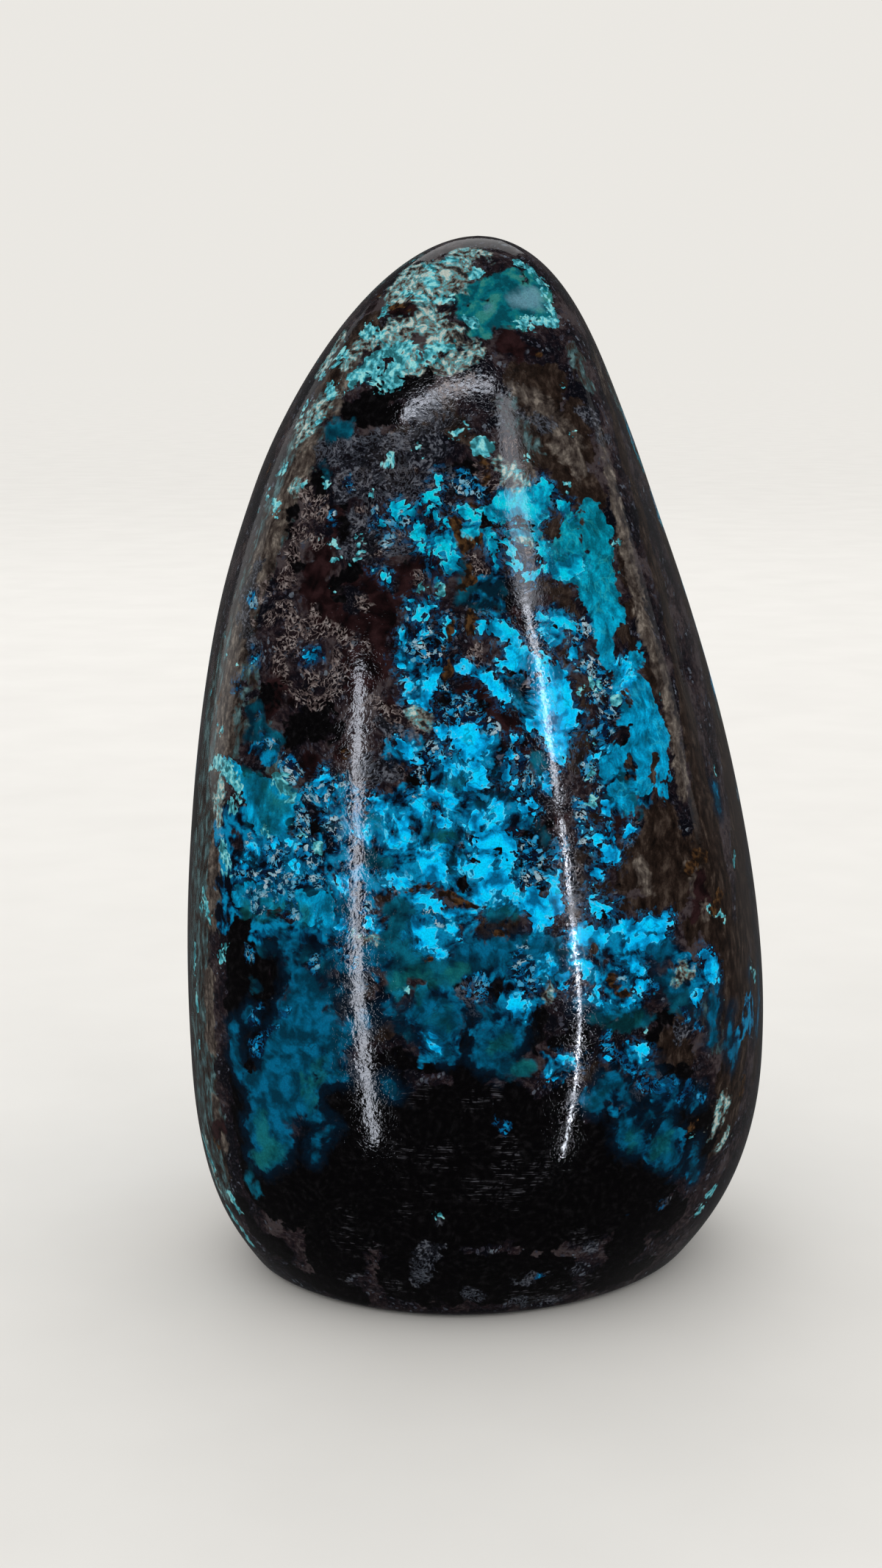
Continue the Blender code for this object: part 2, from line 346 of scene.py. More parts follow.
# Where each mineral shows: strokes of a round brush over the skin, each a chain of points given as
# (across, down, half width), in pixels of the camera's frame.
MINERALS = {
    "turquoise": (
        # under the shoulder, left of the middle
        ((540, 692, 9), (558, 697, 9)), ((546, 709, 5),), ((516, 708, 4), (518, 714, 4)),
        ((582, 676, 6), (590, 682, 8)), ((595, 650, 4), (598, 664, 4)),
        ((582, 695, 3), (592, 705, 3)), ((560, 732, 6), (572, 726, 8)),
        ((575, 740, 4), (585, 751, 4), (595, 752, 3)), ((603, 709, 4), (612, 714, 4)),
        ((600, 736, 5), (612, 749, 9), (616, 765, 9), (610, 776, 5)),
        ((512, 773, 2), (520, 778, 4), (527, 789, 3)), ((590, 775, 5), (596, 786, 4)),
        ((556, 820, 4),), ((575, 823, 6), (590, 822, 6)), ((562, 838, 5), (575, 842, 6)),
        ((605, 845, 4), (608, 860, 6), (606, 870, 4)), ((546, 862, 4), (545, 871, 3)),
        ((577, 865, 6),), ((544, 893, 5), (548, 906, 5)),
        ((592, 910, 6), (588, 925, 8), (580, 940, 8), (575, 955, 5)),
        ((550, 925, 4), (556, 936, 5)), ((552, 948, 3), (570, 958, 4)), ((584, 965, 4),),
        ((590, 985, 6), (600, 996, 8)), ((545, 1010, 7), (558, 1022, 8), (566, 1036, 6)),
        ((418, 893, 5), (427, 892, 6)), ((320, 930, 7),), ((347, 892, 3), (345, 899, 3)),
        # the band across the upper front, cut by a level crack
        ((668, 698, 13), (690, 692, 20), (705, 680, 21), (725, 692, 18), (738, 668, 13)),
        ((626, 693, 4), (638, 700, 6), (655, 706, 6)),
        ((690, 728, 8), (710, 728, 9), (722, 722, 5)), ((635, 725, 7), (647, 727, 8)),
        ((665, 725, 5), (672, 735, 8), (672, 752, 6), (678, 766, 4)),
        ((694, 748, 5), (702, 765, 5)), ((714, 780, 5), (724, 788, 5), (733, 776, 5)),
        ((734, 738, 6), (740, 752, 6)), ((745, 768, 10), (765, 775, 16), (782, 770, 14)),
        ((800, 1035, 5), (812, 1028, 6), (822, 1020, 5)), ((820, 1088, 5), (826, 1100, 8)),
        ((771, 686, 4), (775, 700, 6)), ((850, 905, 8), (856, 925, 9), (848, 945, 7)),
        ((742, 1050, 7), (744, 1070, 5)),
        # the bright patch right of the middle
        ((656, 851, 8), (670, 852, 10), (686, 855, 9), (697, 868, 10)),
        ((692, 884, 8), (706, 893, 14)), ((706, 893, 14), (722, 898, 13), (738, 904, 12)),
        ((682, 905, 7), (700, 909, 10), (720, 910, 9)),
        ((745, 905, 10), (757, 918, 14), (758, 942, 17), (766, 960, 15), (774, 982, 15)),
        ((738, 930, 12), (742, 960, 15), (738, 985, 14), (727, 988, 10)),
        ((756, 985, 16), (754, 1012, 12)), ((754, 1012, 12), (759, 1034, 8)),
        ((766, 1004, 10), (768, 1024, 4)),
        ((626, 910, 5), (640, 908, 7), (655, 916, 7), (666, 926, 8)),
        ((674, 937, 9), (685, 946, 11)), ((735, 838, 8), (742, 850, 9), (738, 862, 5)),
        ((757, 838, 7), (768, 845, 8), (755, 856, 8)), ((755, 856, 8), (750, 869, 6)),
        ((778, 855, 3), (783, 862, 3)), ((780, 885, 5), (781, 897, 4)),
        # the middle
        ((620, 992, 8), (640, 996, 12), (656, 1011, 14), (640, 1020, 13), (625, 1012, 10)),
        ((648, 1046, 14), (655, 1064, 12), (640, 1075, 7)), ((600, 1040, 6), (615, 1044, 7)),
        ((700, 1007, 6),), ((695, 1030, 4),), ((691, 1056, 5), (697, 1068, 6)), ((702, 1052, 4),),
        ((716, 1092, 9), (722, 1103, 8)), ((674, 1092, 5), (680, 1106, 8), (674, 1124, 11)),
        ((652, 1113, 8), (640, 1125, 6)), ((594, 1115, 7), (606, 1119, 11)),
        ((578, 1080, 7), (600, 1085, 6), (616, 1091, 5)), ((562, 1105, 7), (576, 1094, 7)),
        ((656, 1150, 16), (676, 1149, 16), (692, 1150, 12), (690, 1175, 10)), ((660, 1170, 12),),
        ((572, 1163, 9), (590, 1176, 16), (600, 1191, 12), (583, 1192, 8)),
        ((595, 1157, 6), (612, 1155, 4)),
        ((625, 1180, 7), (640, 1177, 8), (655, 1186, 12), (671, 1195, 14), (690, 1206, 12)),
        ((655, 1205, 10), (652, 1218, 9), (668, 1222, 10)), ((700, 1216, 8), (706, 1232, 6)),
        ((722, 1216, 12), (730, 1232, 17), (736, 1250, 14), (732, 1262, 8)),
        ((752, 1234, 12), (757, 1214, 7)), ((744, 1198, 6), (756, 1194, 6)),
        ((756, 1162, 6), (762, 1150, 4)), ((545, 1112, 8), (550, 1132, 10), (548, 1152, 8)),
        ((530, 1116, 6),), ((528, 1140, 5), (532, 1152, 5)),
        ((524, 1198, 6), (540, 1200, 8), (556, 1196, 6)),
        ((566, 1262, 10), (581, 1270, 12), (590, 1284, 7)), ((574, 1285, 7),),
        ((612, 1262, 5), (621, 1271, 5)), ((574, 1222, 9), (590, 1228, 8), (602, 1236, 4)),
        ((618, 1242, 3), (640, 1248, 5), (652, 1240, 4)), ((600, 1296, 6), (592, 1292, 5)),
        ((502, 1252, 4), (508, 1262, 4)), ((548, 1195, 5),), ((508, 1085, 8), (518, 1096, 8)),
        # left of the middle
        ((434, 1066, 4), (440, 1086, 5), (452, 1090, 4)),
        ((441, 1052, 4), (452, 1064, 3), (456, 1080, 3)), ((462, 1090, 6),),
        ((482, 1130, 6), (500, 1138, 7)), ((462, 1196, 7), (470, 1210, 7)),
        ((390, 1145, 6), (400, 1150, 5)), ((372, 1150, 5),), ((344, 1155, 7), (354, 1158, 6)),
        ((398, 1170, 5), (402, 1182, 4)), ((333, 1180, 5),), ((465, 1258, 6), (466, 1268, 6)),
        # the right of the lower half
        ((778, 1278, 9), (800, 1270, 13), (816, 1277, 10)), ((786, 1305, 8), (797, 1316, 6)),
        ((800, 1326, 4), (790, 1334, 5)),
        ((842, 1262, 10), (862, 1266, 12), (885, 1258, 12), (906, 1252, 9)),
        ((855, 1286, 9), (880, 1278, 9), (900, 1270, 8)), ((812, 1234, 7), (818, 1244, 6)),
        ((832, 1238, 6), (834, 1228, 5)), ((797, 1226, 4), (806, 1222, 5)),
        ((820, 1134, 6), (829, 1153, 9), (836, 1168, 7)), ((808, 1140, 5), (815, 1150, 7)),
        ((816, 1184, 7), (808, 1195, 5)), ((852, 1140, 4), (858, 1128, 4)),
        ((795, 1118, 4), (797, 1130, 5)), ((748, 1310, 7), (757, 1325, 9), (766, 1336, 7)),
        ((735, 1318, 6), (745, 1332, 6)), ((845, 1305, 7), (862, 1312, 9), (872, 1322, 8)),
        ((868, 1338, 8), (872, 1352, 5)), ((812, 1322, 4), (813, 1336, 4)),
        ((812, 1350, 6), (820, 1364, 7)), ((850, 1366, 5), (856, 1364, 4)),
        ((960, 1298, 9), (966, 1314, 12), (973, 1335, 7)), ((950, 1350, 6), (949, 1366, 4)),
        ((760, 1444, 6), (774, 1441, 5)), ((788, 1446, 4),), ((748, 1465, 4), (758, 1461, 4)),
        ((828, 1436, 4),), ((858, 1425, 5), (870, 1424, 6), (880, 1437, 6)),
        ((700, 1363, 8), (712, 1368, 11), (708, 1382, 7)), ((588, 1412, 8), (592, 1428, 7)),
    ),
    "silky": (
        # the tall patch beside the ridge
        ((776, 700, 9), (780, 735, 16), (792, 765, 20), (803, 795, 20), (814, 825, 19)),
        ((805, 694, 13), (814, 725, 19), (817, 755, 20), (822, 790, 20), (832, 815, 17),
         (845, 829, 10)), ((792, 700, 8), (796, 740, 12)),
        ((814, 825, 19), (818, 852, 18), (822, 880, 14), (832, 905, 12)),
        ((752, 760, 13), (768, 778, 16), (786, 776, 16)), ((760, 740, 8), (772, 756, 9)),
        ((868, 874, 2), (870, 892, 6), (860, 908, 14)),
        ((842, 898, 12), (846, 918, 16), (868, 940, 20)), ((846, 918, 16), (836, 940, 9)),
        ((868, 940, 20), (874, 970, 22), (880, 1000, 26), (882, 1030, 24)),
        ((882, 1030, 24), (880, 1060, 17), (879, 1080, 9)),
        ((893, 990, 15), (900, 1035, 12), (904, 1060, 9), (904, 1082, 5)),
        ((822, 1050, 10), (836, 1036, 14), (850, 1020, 10)),
        ((836, 1070, 12), (848, 1088, 10), (862, 1104, 6)), ((838, 1010, 8), (832, 1040, 12)),
        ((856, 960, 10), (850, 985, 7)),
        # a strip on the far side of the ridge
        ((846, 556, 5), (860, 600, 6), (876, 640, 6), (888, 672, 4)),
        # the band over the middle
        ((672, 700, 12), (690, 688, 20), (708, 676, 18), (728, 690, 20), (738, 668, 13)),
        ((730, 720, 12), (712, 722, 10)), ((740, 735, 8), (748, 752, 10)),
        ((665, 722, 8), (640, 720, 6)),
        # the band on the left
        ((340, 1072, 20), (370, 1090, 26), (395, 1100, 18)), ((352, 1112, 22), (374, 1126, 18)),
        ((304, 1040, 8), (320, 1056, 14)), ((330, 1220, 18), (372, 1214, 22), (400, 1222, 16)),
        ((415, 1236, 20), (440, 1222, 16), (446, 1250, 12)),
    ),
    "blue": (
        # the broad smooth patch low on the left
        ((395, 1298, 5), (400, 1316, 9), (415, 1345, 21), (410, 1375, 30), (402, 1410, 36)),
        ((440, 1358, 12), (450, 1374, 8)), ((445, 1392, 19), (452, 1420, 15), (455, 1440, 9)),
        ((402, 1420, 38), (388, 1455, 36), (378, 1480, 34)), ((345, 1474, 20), (332, 1460, 9)),
        ((362, 1500, 30), (385, 1500, 28), (410, 1482, 20)), ((352, 1540, 24), (375, 1545, 26)),
        ((352, 1578, 15), (374, 1570, 14)),
        ((316, 1400, 9), (318, 1425, 10), (322, 1448, 8), (330, 1465, 9)),
        # loose lumps between it and the middle
        ((470, 1272, 13), (464, 1240, 9)), ((428, 1225, 5), (430, 1250, 6)),
        ((500, 1300, 12), (516, 1306, 9)), ((380, 1283, 6), (400, 1285, 7)),
        ((448, 1344, 9), (463, 1350, 7)), ((476, 1396, 9), (471, 1412, 7)),
        ((444, 1298, 5), (452, 1308, 5)), ((472, 1318, 6),), ((495, 1390, 8),),
        ((340, 1377, 5), (338, 1388, 4)), ((527, 1478, 9), (535, 1484, 7)),
        ((462, 1462, 10), (448, 1466, 8)), ((425, 1522, 6), (440, 1524, 4)),
        ((430, 1545, 5), (425, 1570, 6)), ((445, 1540, 5), (452, 1532, 4)),
        # the belt under the middle
        ((620, 1300, 8), (650, 1290, 9), (682, 1284, 10), (702, 1287, 9)),
        ((730, 1282, 9), (750, 1290, 8)),
        ((650, 1311, 6), (690, 1306, 8), (716, 1306, 12), (742, 1302, 13), (756, 1318, 12)),
        ((558, 1380, 8), (575, 1373, 12), (600, 1370, 17), (619, 1380, 12), (604, 1398, 13),
         (582, 1388, 10)), ((532, 1378, 6), (540, 1386, 6)),
        ((580, 1412, 9), (595, 1420, 9), (606, 1432, 7)),
        ((655, 1372, 6), (664, 1381, 8), (662, 1392, 4)),
        ((656, 1430, 11), (672, 1426, 17), (692, 1416, 17)), ((692, 1416, 17), (704, 1404, 8)),
        ((664, 1442, 11), (680, 1452, 7)), ((698, 1450, 4),),
        # and those low on the right
        ((832, 1468, 10), (822, 1485, 14), (808, 1496, 14), (795, 1497, 7)),
        ((846, 1476, 7), (852, 1494, 7)), ((886, 1446, 5), (892, 1456, 4)),
        ((850, 1530, 10), (858, 1548, 14), (866, 1562, 9)),
        ((906, 1530, 9), (906, 1550, 17), (895, 1566, 12), (916, 1577, 9)), ((880, 1514, 6),),
        ((946, 1560, 5), (942, 1580, 8), (946, 1602, 6)), ((924, 1592, 5),),
        ((947, 1492, 5), (950, 1500, 4)), ((972, 1345, 7), (971, 1380, 6), (970, 1412, 5)),
        ((950, 1376, 5),), ((906, 1292, 9), (895, 1302, 8)), ((974, 1075, 7), (978, 1098, 7)),
        ((1032, 1320, 7), (1033, 1360, 8), (1030, 1400, 9)),
        ((996, 1380, 7), (990, 1420, 7), (1000, 1442, 7)), ((1020, 1322, 4),),
        ((920, 1345, 9), (905, 1335, 8)), ((790, 1366, 7),), ((886, 1490, 5), (900, 1485, 4)),
        ((915, 1500, 5), (925, 1488, 5)),
    ),
    "glass": (
        ((612, 405, 5), (632, 402, 8)), ((500, 505, 12), (508, 512, 8)), ((460, 560, 6),),
        ((450, 590, 13), (472, 582, 10)), ((440, 640, 9), (447, 655, 8)),
        ((640, 798, 13), (628, 815, 7)), ((645, 820, 8),),
        ((660, 795, 9), (682, 796, 11), (676, 806, 9)), ((668, 822, 7), (680, 821, 7)),
        ((345, 965, 9), (352, 988, 10)), ((370, 1012, 14), (342, 1002, 8)),
        ((624, 770, 8), (625, 785, 6)), ((348, 1068, 16), (372, 1086, 24), (390, 1100, 18)),
        ((352, 1110, 20), (372, 1126, 18)), ((335, 1052, 9),), ((392, 1070, 11),),
        ((462, 1068, 14), (470, 1056, 7)), ((445, 1130, 8), (452, 1120, 6)),
        ((336, 1212, 20), (372, 1216, 20), (392, 1222, 14)),
        ((420, 1232, 18), (440, 1222, 14), (446, 1250, 12)), ((340, 1172, 16),),
        ((545, 1240, 19), (541, 1264, 16), (526, 1284, 13)), ((506, 1170, 11), (521, 1181, 12)),
        ((510, 1120, 10),), ((590, 1131, 15), (620, 1131, 13), (603, 1145, 11)),
        ((660, 1086, 13), (692, 1086, 12)), ((630, 1060, 17), (610, 1060, 10)), ((680, 1058, 9),),
        ((740, 1058, 10), (736, 1030, 7)), ((612, 1180, 12), (622, 1166, 9)), ((660, 1202, 7),),
        ((690, 1241, 13), (670, 1241, 9)), ((560, 1300, 28), (600, 1322, 22), (640, 1312, 14)),
        ((540, 1332, 18),), ((730, 1296, 26), (762, 1296, 14)),
        ((870, 1385, 13), (840, 1391, 15), (810, 1386, 10)), ((930, 1362, 16), (912, 1340, 12)),
        ((838, 1034, 15), (845, 1060, 14), (836, 1080, 11)), ((860, 1091, 10), (868, 1106, 8)),
        ((700, 940, 10), (706, 928, 7)), ((725, 965, 9),), ((735, 1130, 8), (745, 1145, 8)),
        ((640, 728, 10),), ((420, 1300, 12), (440, 1320, 10)), ((360, 1290, 12),),
        ((350, 1345, 12),), ((690, 1455, 14), (720, 1455, 12)), ((340, 1600, 12), (350, 1625, 8)),
        ((560, 1410, 10), (545, 1400, 8)), ((905, 1580, 10),),
    ),
    "stained": (
        ((430, 1070, 18), (470, 1100, 22), (500, 1120, 18)), ((440, 1150, 22), (480, 1180, 26)),
        ((300, 1110, 20), (312, 1180, 22)), ((312, 1180, 22), (300, 1250, 18)),
        ((470, 1230, 26), (505, 1200, 22)), ((360, 1262, 22), (420, 1272, 20)),
        ((460, 1300, 20), (500, 1330, 16)), ((530, 1350, 14),), ((640, 1250, 20),),
        ((560, 1180, 24),), ((520, 1110, 26), (560, 1100, 28)),
        ((600, 1080, 18), (640, 1100, 28), (690, 1100, 26)), ((530, 1160, 28), (600, 1150, 30)),
        ((650, 1190, 46), (700, 1230, 28)), ((560, 1235, 24), (600, 1262, 30)),
        ((510, 1290, 26), (560, 1290, 30)), ((640, 1300, 26), (700, 1300, 34), (752, 1312, 32)),
        ((450, 1240, 30), (430, 1290, 24)), ((340, 1130, 30), (380, 1180, 46), (420, 1222, 36)),
        ((340, 1224, 20),), ((470, 1080, 22),), ((620, 1050, 28), (650, 1020, 24)),
        ((730, 965, 22),), ((738, 1056, 14),), ((780, 1292, 20), (840, 1288, 28), (885, 1276, 26)),
        ((850, 1320, 26), (800, 1326, 14)), ((825, 1368, 20), (862, 1366, 14)),
        ((915, 1300, 18), (940, 1345, 20)), ((962, 1330, 18),), ((838, 1048, 24), (862, 1092, 16)),
        ((590, 1380, 38), (600, 1420, 28)), ((680, 1405, 34), (705, 1372, 24)), ((762, 1452, 18),),
        ((820, 1482, 24), (850, 1488, 18)), ((862, 1440, 14),), ((866, 1550, 24), (912, 1562, 26)),
        ((942, 1590, 12),), ((556, 870, 10), (552, 900, 12), (565, 945, 12)), ((605, 745, 20),),
        ((645, 722, 20),), ((665, 805, 24),), ((360, 1015, 22),), ((347, 980, 12),),
        ((545, 1020, 20),), ((440, 1440, 30),), ((755, 850, 22),), ((700, 930, 16),),
        ((1022, 1370, 22), (995, 1430, 18)), ((900, 1490, 20), (940, 1490, 16)),
    ),
    "green": (
        ((372, 1570, 26), (350, 1590, 18)), ((435, 1450, 12), (425, 1480, 12), (428, 1500, 10)),
        ((352, 1530, 16),), ((600, 1385, 14),), ((676, 1420, 13), (690, 1415, 10)),
        ((640, 400, 12), (662, 384, 12)), ((745, 432, 16), (715, 440, 12)),
        ((738, 380, 6), (757, 420, 6)), ((860, 1392, 20), (830, 1395, 18)), ((900, 1556, 18),),
        ((862, 1552, 12),), ((815, 1498, 12),), ((345, 1068, 22), (375, 1095, 20)),
        ((360, 1112, 18), (372, 1132, 12)), ((600, 1140, 16),), ((400, 1240, 20), (340, 1238, 16)),
        ((560, 1340, 26),), ((625, 1325, 12),), ((700, 1240, 12),), ((720, 1455, 16),),
    ),
    "mint": (
        # the crown
        ((581, 360, 6), (587, 370, 4)), ((611, 354, 7), (622, 356, 6)),
        ((585, 378, 5), (592, 388, 5), (580, 390, 4)),
        ((552, 398, 5), (566, 404, 5), (580, 410, 3)), ((606, 408, 4), (616, 404, 4)),
        ((640, 376, 5), (654, 368, 6)), ((565, 352, 5),), ((526, 416, 5), (520, 428, 4)),
        ((500, 448, 8), (518, 454, 6)), ((476, 522, 8), (490, 508, 10), (504, 494, 10)),
        ((504, 494, 9), (528, 478, 11), (556, 474, 9)),
        ((544, 488, 10), (536, 510, 13), (526, 526, 8)), ((512, 512, 10),),
        ((562, 500, 4), (574, 494, 5), (584, 486, 6)),
        ((584, 478, 6), (600, 474, 7), (616, 470, 5)), ((592, 490, 4), (606, 482, 4)),
        ((520, 532, 5), (534, 528, 4)), ((706, 356, 5), (724, 368, 6), (738, 384, 6)),
        ((740, 396, 4), (752, 420, 5), (757, 438, 6)),
        ((704, 441, 6), (724, 440, 8), (748, 438, 8)), ((634, 432, 5), (642, 440, 5)),
        ((598, 404, 4),),
        # down the left edge
        ((470, 470, 7), (462, 486, 8), (455, 498, 6)), ((448, 530, 6), (452, 540, 5)),
        ((437, 512, 4), (436, 522, 4)), ((447, 462, 3), (430, 495, 4)),
        ((418, 545, 4), (412, 562, 5)), ((435, 572, 5),), ((378, 645, 5), (388, 636, 4)),
        ((366, 664, 7), (362, 678, 7)), ((372, 682, 6), (378, 698, 5)), ((352, 690, 6),),
        ((307, 862, 4),), ((308, 880, 3), (309, 892, 4)), ((318, 900, 3), (322, 908, 3)),
        ((286, 940, 4),), ((295, 985, 4), (300, 995, 3)),
        ((292, 1034, 8), (308, 1046, 11), (324, 1070, 10)), ((290, 1040, 6), (283, 1048, 4)),
        ((304, 1150, 8), (308, 1186, 8)), ((278, 1222, 6), (284, 1250, 6)),
        ((322, 1080, 8), (318, 1100, 8)), ((305, 1164, 8),), ((276, 1210, 6), (272, 1240, 6)),
        ((265, 1280, 6), (264, 1320, 6), (268, 1370, 6)), ((270, 1420, 5),),
        ((275, 1545, 3), (285, 1575, 4), (295, 1600, 4)), ((312, 1622, 8), (322, 1640, 9)),
        ((310, 1645, 7), (326, 1668, 7), (340, 1690, 6)), ((330, 1690, 5), (350, 1710, 4)),
        # crumbs on the front
        ((300, 1310, 6), (306, 1290, 5)), ((380, 1060, 9), (388, 1072, 8)),
        ((360, 1122, 3), (358, 1134, 3)), ((396, 1085, 4), (402, 1096, 4)), ((400, 1128, 5),),
        ((412, 1135, 6),), ((437, 1158, 5), (430, 1150, 4)),
        ((488, 728, 4), (490, 745, 4), (484, 762, 4)),
        ((440, 735, 4), (452, 742, 6), (458, 745, 4)), ((458, 758, 5),), ((455, 807, 4),),
        ((415, 655, 4),), ((445, 662, 5), (443, 655, 4)), ((506, 672, 4),),
        ((572, 798, 5), (580, 796, 4)), ((600, 803, 6),), ((612, 776, 3),),
        ((620, 590, 9), (632, 582, 7)), ((650, 608, 9), (664, 605, 10), (655, 620, 7)),
        ((565, 610, 5),), ((532, 620, 4), (525, 632, 4)), ((718, 622, 6),), ((702, 638, 4),),
        ((768, 655, 3), (775, 668, 3)), ((790, 1052, 5),), ((804, 1048, 4), (800, 1060, 4)),
        ((810, 1080, 4), (806, 1090, 4)), ((800, 1008, 3), (810, 1000, 3)),
        ((895, 948, 3), (897, 956, 2)), ((840, 718, 2), (841, 724, 2)), ((840, 738, 2),),
        ((836, 952, 4),), ((788, 940, 4),), ((808, 925, 4), (812, 935, 4)), ((765, 525, 3),),
        ((740, 582, 2),), ((776, 590, 3),), ((1022, 1315, 5), (1028, 1330, 6)),
        ((1000, 1160, 4), (998, 1175, 4)), ((974, 1048, 3),), ((985, 1360, 4),),
        ((965, 1235, 4), (985, 1250, 4)), ((880, 1400, 4),), ((943, 1545, 4),),
        ((960, 1630, 5), (975, 1612, 5), (950, 1650, 4)), ((560, 1345, 5), (545, 1350, 4)),
        ((598, 1655, 4),),
    ),
    "beige": (
        ((590, 384, 38), (560, 376, 26), (620, 372, 26)), ((585, 440, 26), (614, 462, 20)),
        ((540, 400, 18),), ((600, 490, 16), (624, 494, 12)), ((650, 348, 14), (620, 348, 14)),
        ((540, 455, 24),), ((500, 460, 14), (470, 500, 9)), ((560, 490, 16), (540, 500, 12)),
        ((450, 540, 12), (436, 560, 10)), ((462, 460, 12), (440, 500, 12)),
        ((634, 470, 10), (650, 482, 10)), ((420, 560, 8), (405, 600, 8)),
        ((300, 1080, 9), (296, 1130, 8)), ((282, 1560, 8), (300, 1620, 10)),
        ((408, 575, 12), (418, 588, 10)), ((398, 660, 8),), ((300, 1065, 12), (296, 1090, 14)),
        ((925, 1312, 8), (936, 1322, 9)), ((925, 1330, 7),), ((985, 1500, 14), (975, 1530, 14)),
        ((990, 1540, 10), (980, 1560, 10)), ((720, 735, 10),), ((690, 640, 14), (700, 660, 10)),
        ((745, 1350, 10),), ((575, 982, 12), (560, 968, 8)), ((640, 735, 5),),
        ((485, 1270, 8), (510, 1275, 6)),
    ),
    "brown_and_shade": (
        # the shoulder and the upper right
        ((700, 510, 16), (740, 520, 30)), ((740, 560, 36), (730, 610, 34)),
        ((780, 560, 24), (790, 610, 26)), ((770, 650, 26), (810, 680, 20)),
        ((752, 700, 12), (752, 730, 13)), ((745, 745, 6), (765, 752, 8)),
        ((730, 800, 16), (755, 810, 14), (770, 800, 14)), ((778, 828, 10),),
        ((775, 885, 12), (790, 870, 10)), ((790, 700, 4), (792, 712, 4)),
        ((838, 700, 8), (848, 740, 10), (850, 790, 10)), ((862, 830, 12),),
        ((852, 860, 12), (868, 880, 4)), ((884, 900, 10), (895, 960, 10), (912, 1000, 8)),
        ((800, 960, 12),), ((790, 1010, 14), (785, 1040, 10)), ((785, 935, 10), (800, 940, 8)),
        # islands in the tall patch
        ((850, 938, 6), (857, 956, 6)), ((894, 1028, 4), (889, 1048, 6), (890, 1066, 5)),
        ((857, 1030, 4), (857, 1053, 5)),
        # below the tall patch, and over the ridge
        ((800, 1110, 10), (830, 1118, 12), (855, 1112, 10)), ((880, 1108, 14), (905, 1120, 20)),
        ((870, 1150, 28), (860, 1200, 24)), ((910, 1160, 40), (910, 1215, 30)),
        ((790, 1170, 14), (780, 1130, 9)), ((820, 1215, 12), (800, 1205, 10)),
        ((785, 1235, 12), (790, 1250, 8)), ((852, 1225, 14), (880, 1232, 10)), ((812, 1298, 10),),
        ((940, 1260, 20), (935, 1290, 10)), ((920, 1420, 26), (925, 1460, 20)),
        ((935, 1370, 12), (930, 1390, 14)), ((810, 1460, 12),), ((770, 1495, 10),),
        # the right face, from its top to its foot: brown rock darkened as painted shade, where the face
        # turns away from the light
        ((845, 480, 26), (875, 600, 32), (925, 760, 40), (965, 920, 46)),
        ((965, 920, 46), (1000, 1100, 50), (1012, 1260, 46)),
        ((1012, 1260, 46), (1008, 1420, 40), (980, 1540, 36)),
        ((800, 440, 12), (815, 500, 16), (835, 560, 16), (850, 620, 16), (868, 680, 18)),
        ((868, 680, 18), (885, 750, 24), (905, 820, 28), (920, 890, 28), (935, 960, 32)),
        ((935, 960, 32), (950, 1040, 32), (965, 1120, 40), (975, 1200, 46), (985, 1280, 40)),
        ((985, 1280, 40), (995, 1360, 34), (1000, 1440, 30), (985, 1500, 30), (960, 1560, 26)),
        ((1000, 1100, 20), (1012, 1180, 20), (1022, 1260, 20), (1028, 1460, 14)),
        # the left flank
        ((500, 440, 20), (470, 480, 20), (440, 530, 20), (415, 580, 20), (400, 630, 16)),
        ((400, 630, 16), (370, 700, 20), (345, 770, 26), (335, 830, 30), (320, 890, 26)),
        ((320, 890, 26), (310, 940, 26), (300, 1000, 28), (290, 1060, 24), (285, 1120, 24)),
        ((285, 1120, 24), (280, 1200, 26), (275, 1280, 24), (275, 1360, 22), (278, 1440, 22)),
        ((278, 1440, 22), (285, 1510, 18), (295, 1560, 16), (310, 1600, 12)),
        ((400, 640, 14), (395, 680, 10)),
        # small ones
        ((455, 1105, 12), (460, 1125, 10)), ((500, 1045, 12),), ((535, 1045, 12),),
        ((445, 1205, 4),), ((520, 1215, 14), (545, 1215, 9)), ((455, 1380, 12), (465, 1370, 8)),
        ((500, 1340, 12), (510, 1370, 12)), ((510, 1400, 12), (530, 1395, 10)),
        ((640, 1270, 12), (670, 1260, 10), (690, 1255, 9)), ((752, 1262, 9), (745, 1270, 6)),
        ((650, 1345, 12),), ((640, 600, 8), (600, 560, 20), (560, 590, 18)),
        ((520, 610, 22), (545, 650, 20)), ((600, 470, 10),), ((642, 800, 6),), ((640, 1405, 8),),
    ),
    "slate_and_reflection": (
        # down the left flank, partly a painted reflection of the grey veil that the flank mirrors, and
        # small patches inside it
        ((430, 560, 30), (395, 640, 34), (352, 760, 36), (318, 860, 40)),
        ((318, 860, 40), (290, 960, 56), (280, 1040, 60)),
        ((280, 1040, 60), (272, 1120, 62), (268, 1200, 64), (266, 1280, 64)),
        ((266, 1280, 64), (268, 1360, 62), (272, 1440, 58)),
        ((272, 1440, 58), (280, 1520, 50), (296, 1600, 40)), ((326, 950, 16), (318, 1010, 16)),
        ((300, 1180, 22), (304, 1250, 16)), ((345, 960, 14), (352, 1010, 14)),
        ((330, 900, 14), (345, 930, 12)), ((372, 1040, 14), (390, 1060, 10)),
        # on the shoulder and by the ridge
        ((690, 560, 16), (720, 600, 16)), ((780, 480, 14), (800, 520, 12)),
        ((960, 1360, 16), (980, 1420, 14)),
    ),
    "ash_and_reflection": (
        # along the ridge: a painted reflection, the grey band that the rounded ridge mirrors
        ((818, 590, 6), (832, 650, 8), (842, 700, 9)),
        ((842, 700, 9), (862, 790, 11), (884, 870, 12)),
        ((884, 870, 12), (902, 930, 12), (918, 1000, 11), (930, 1080, 9)),
        # on the shoulder
        ((740, 560, 20), (770, 600, 22), (790, 640, 12)), ((700, 530, 10), (730, 545, 12)),
        ((810, 480, 8), (822, 530, 10)), ((716, 640, 9), (722, 655, 7)),
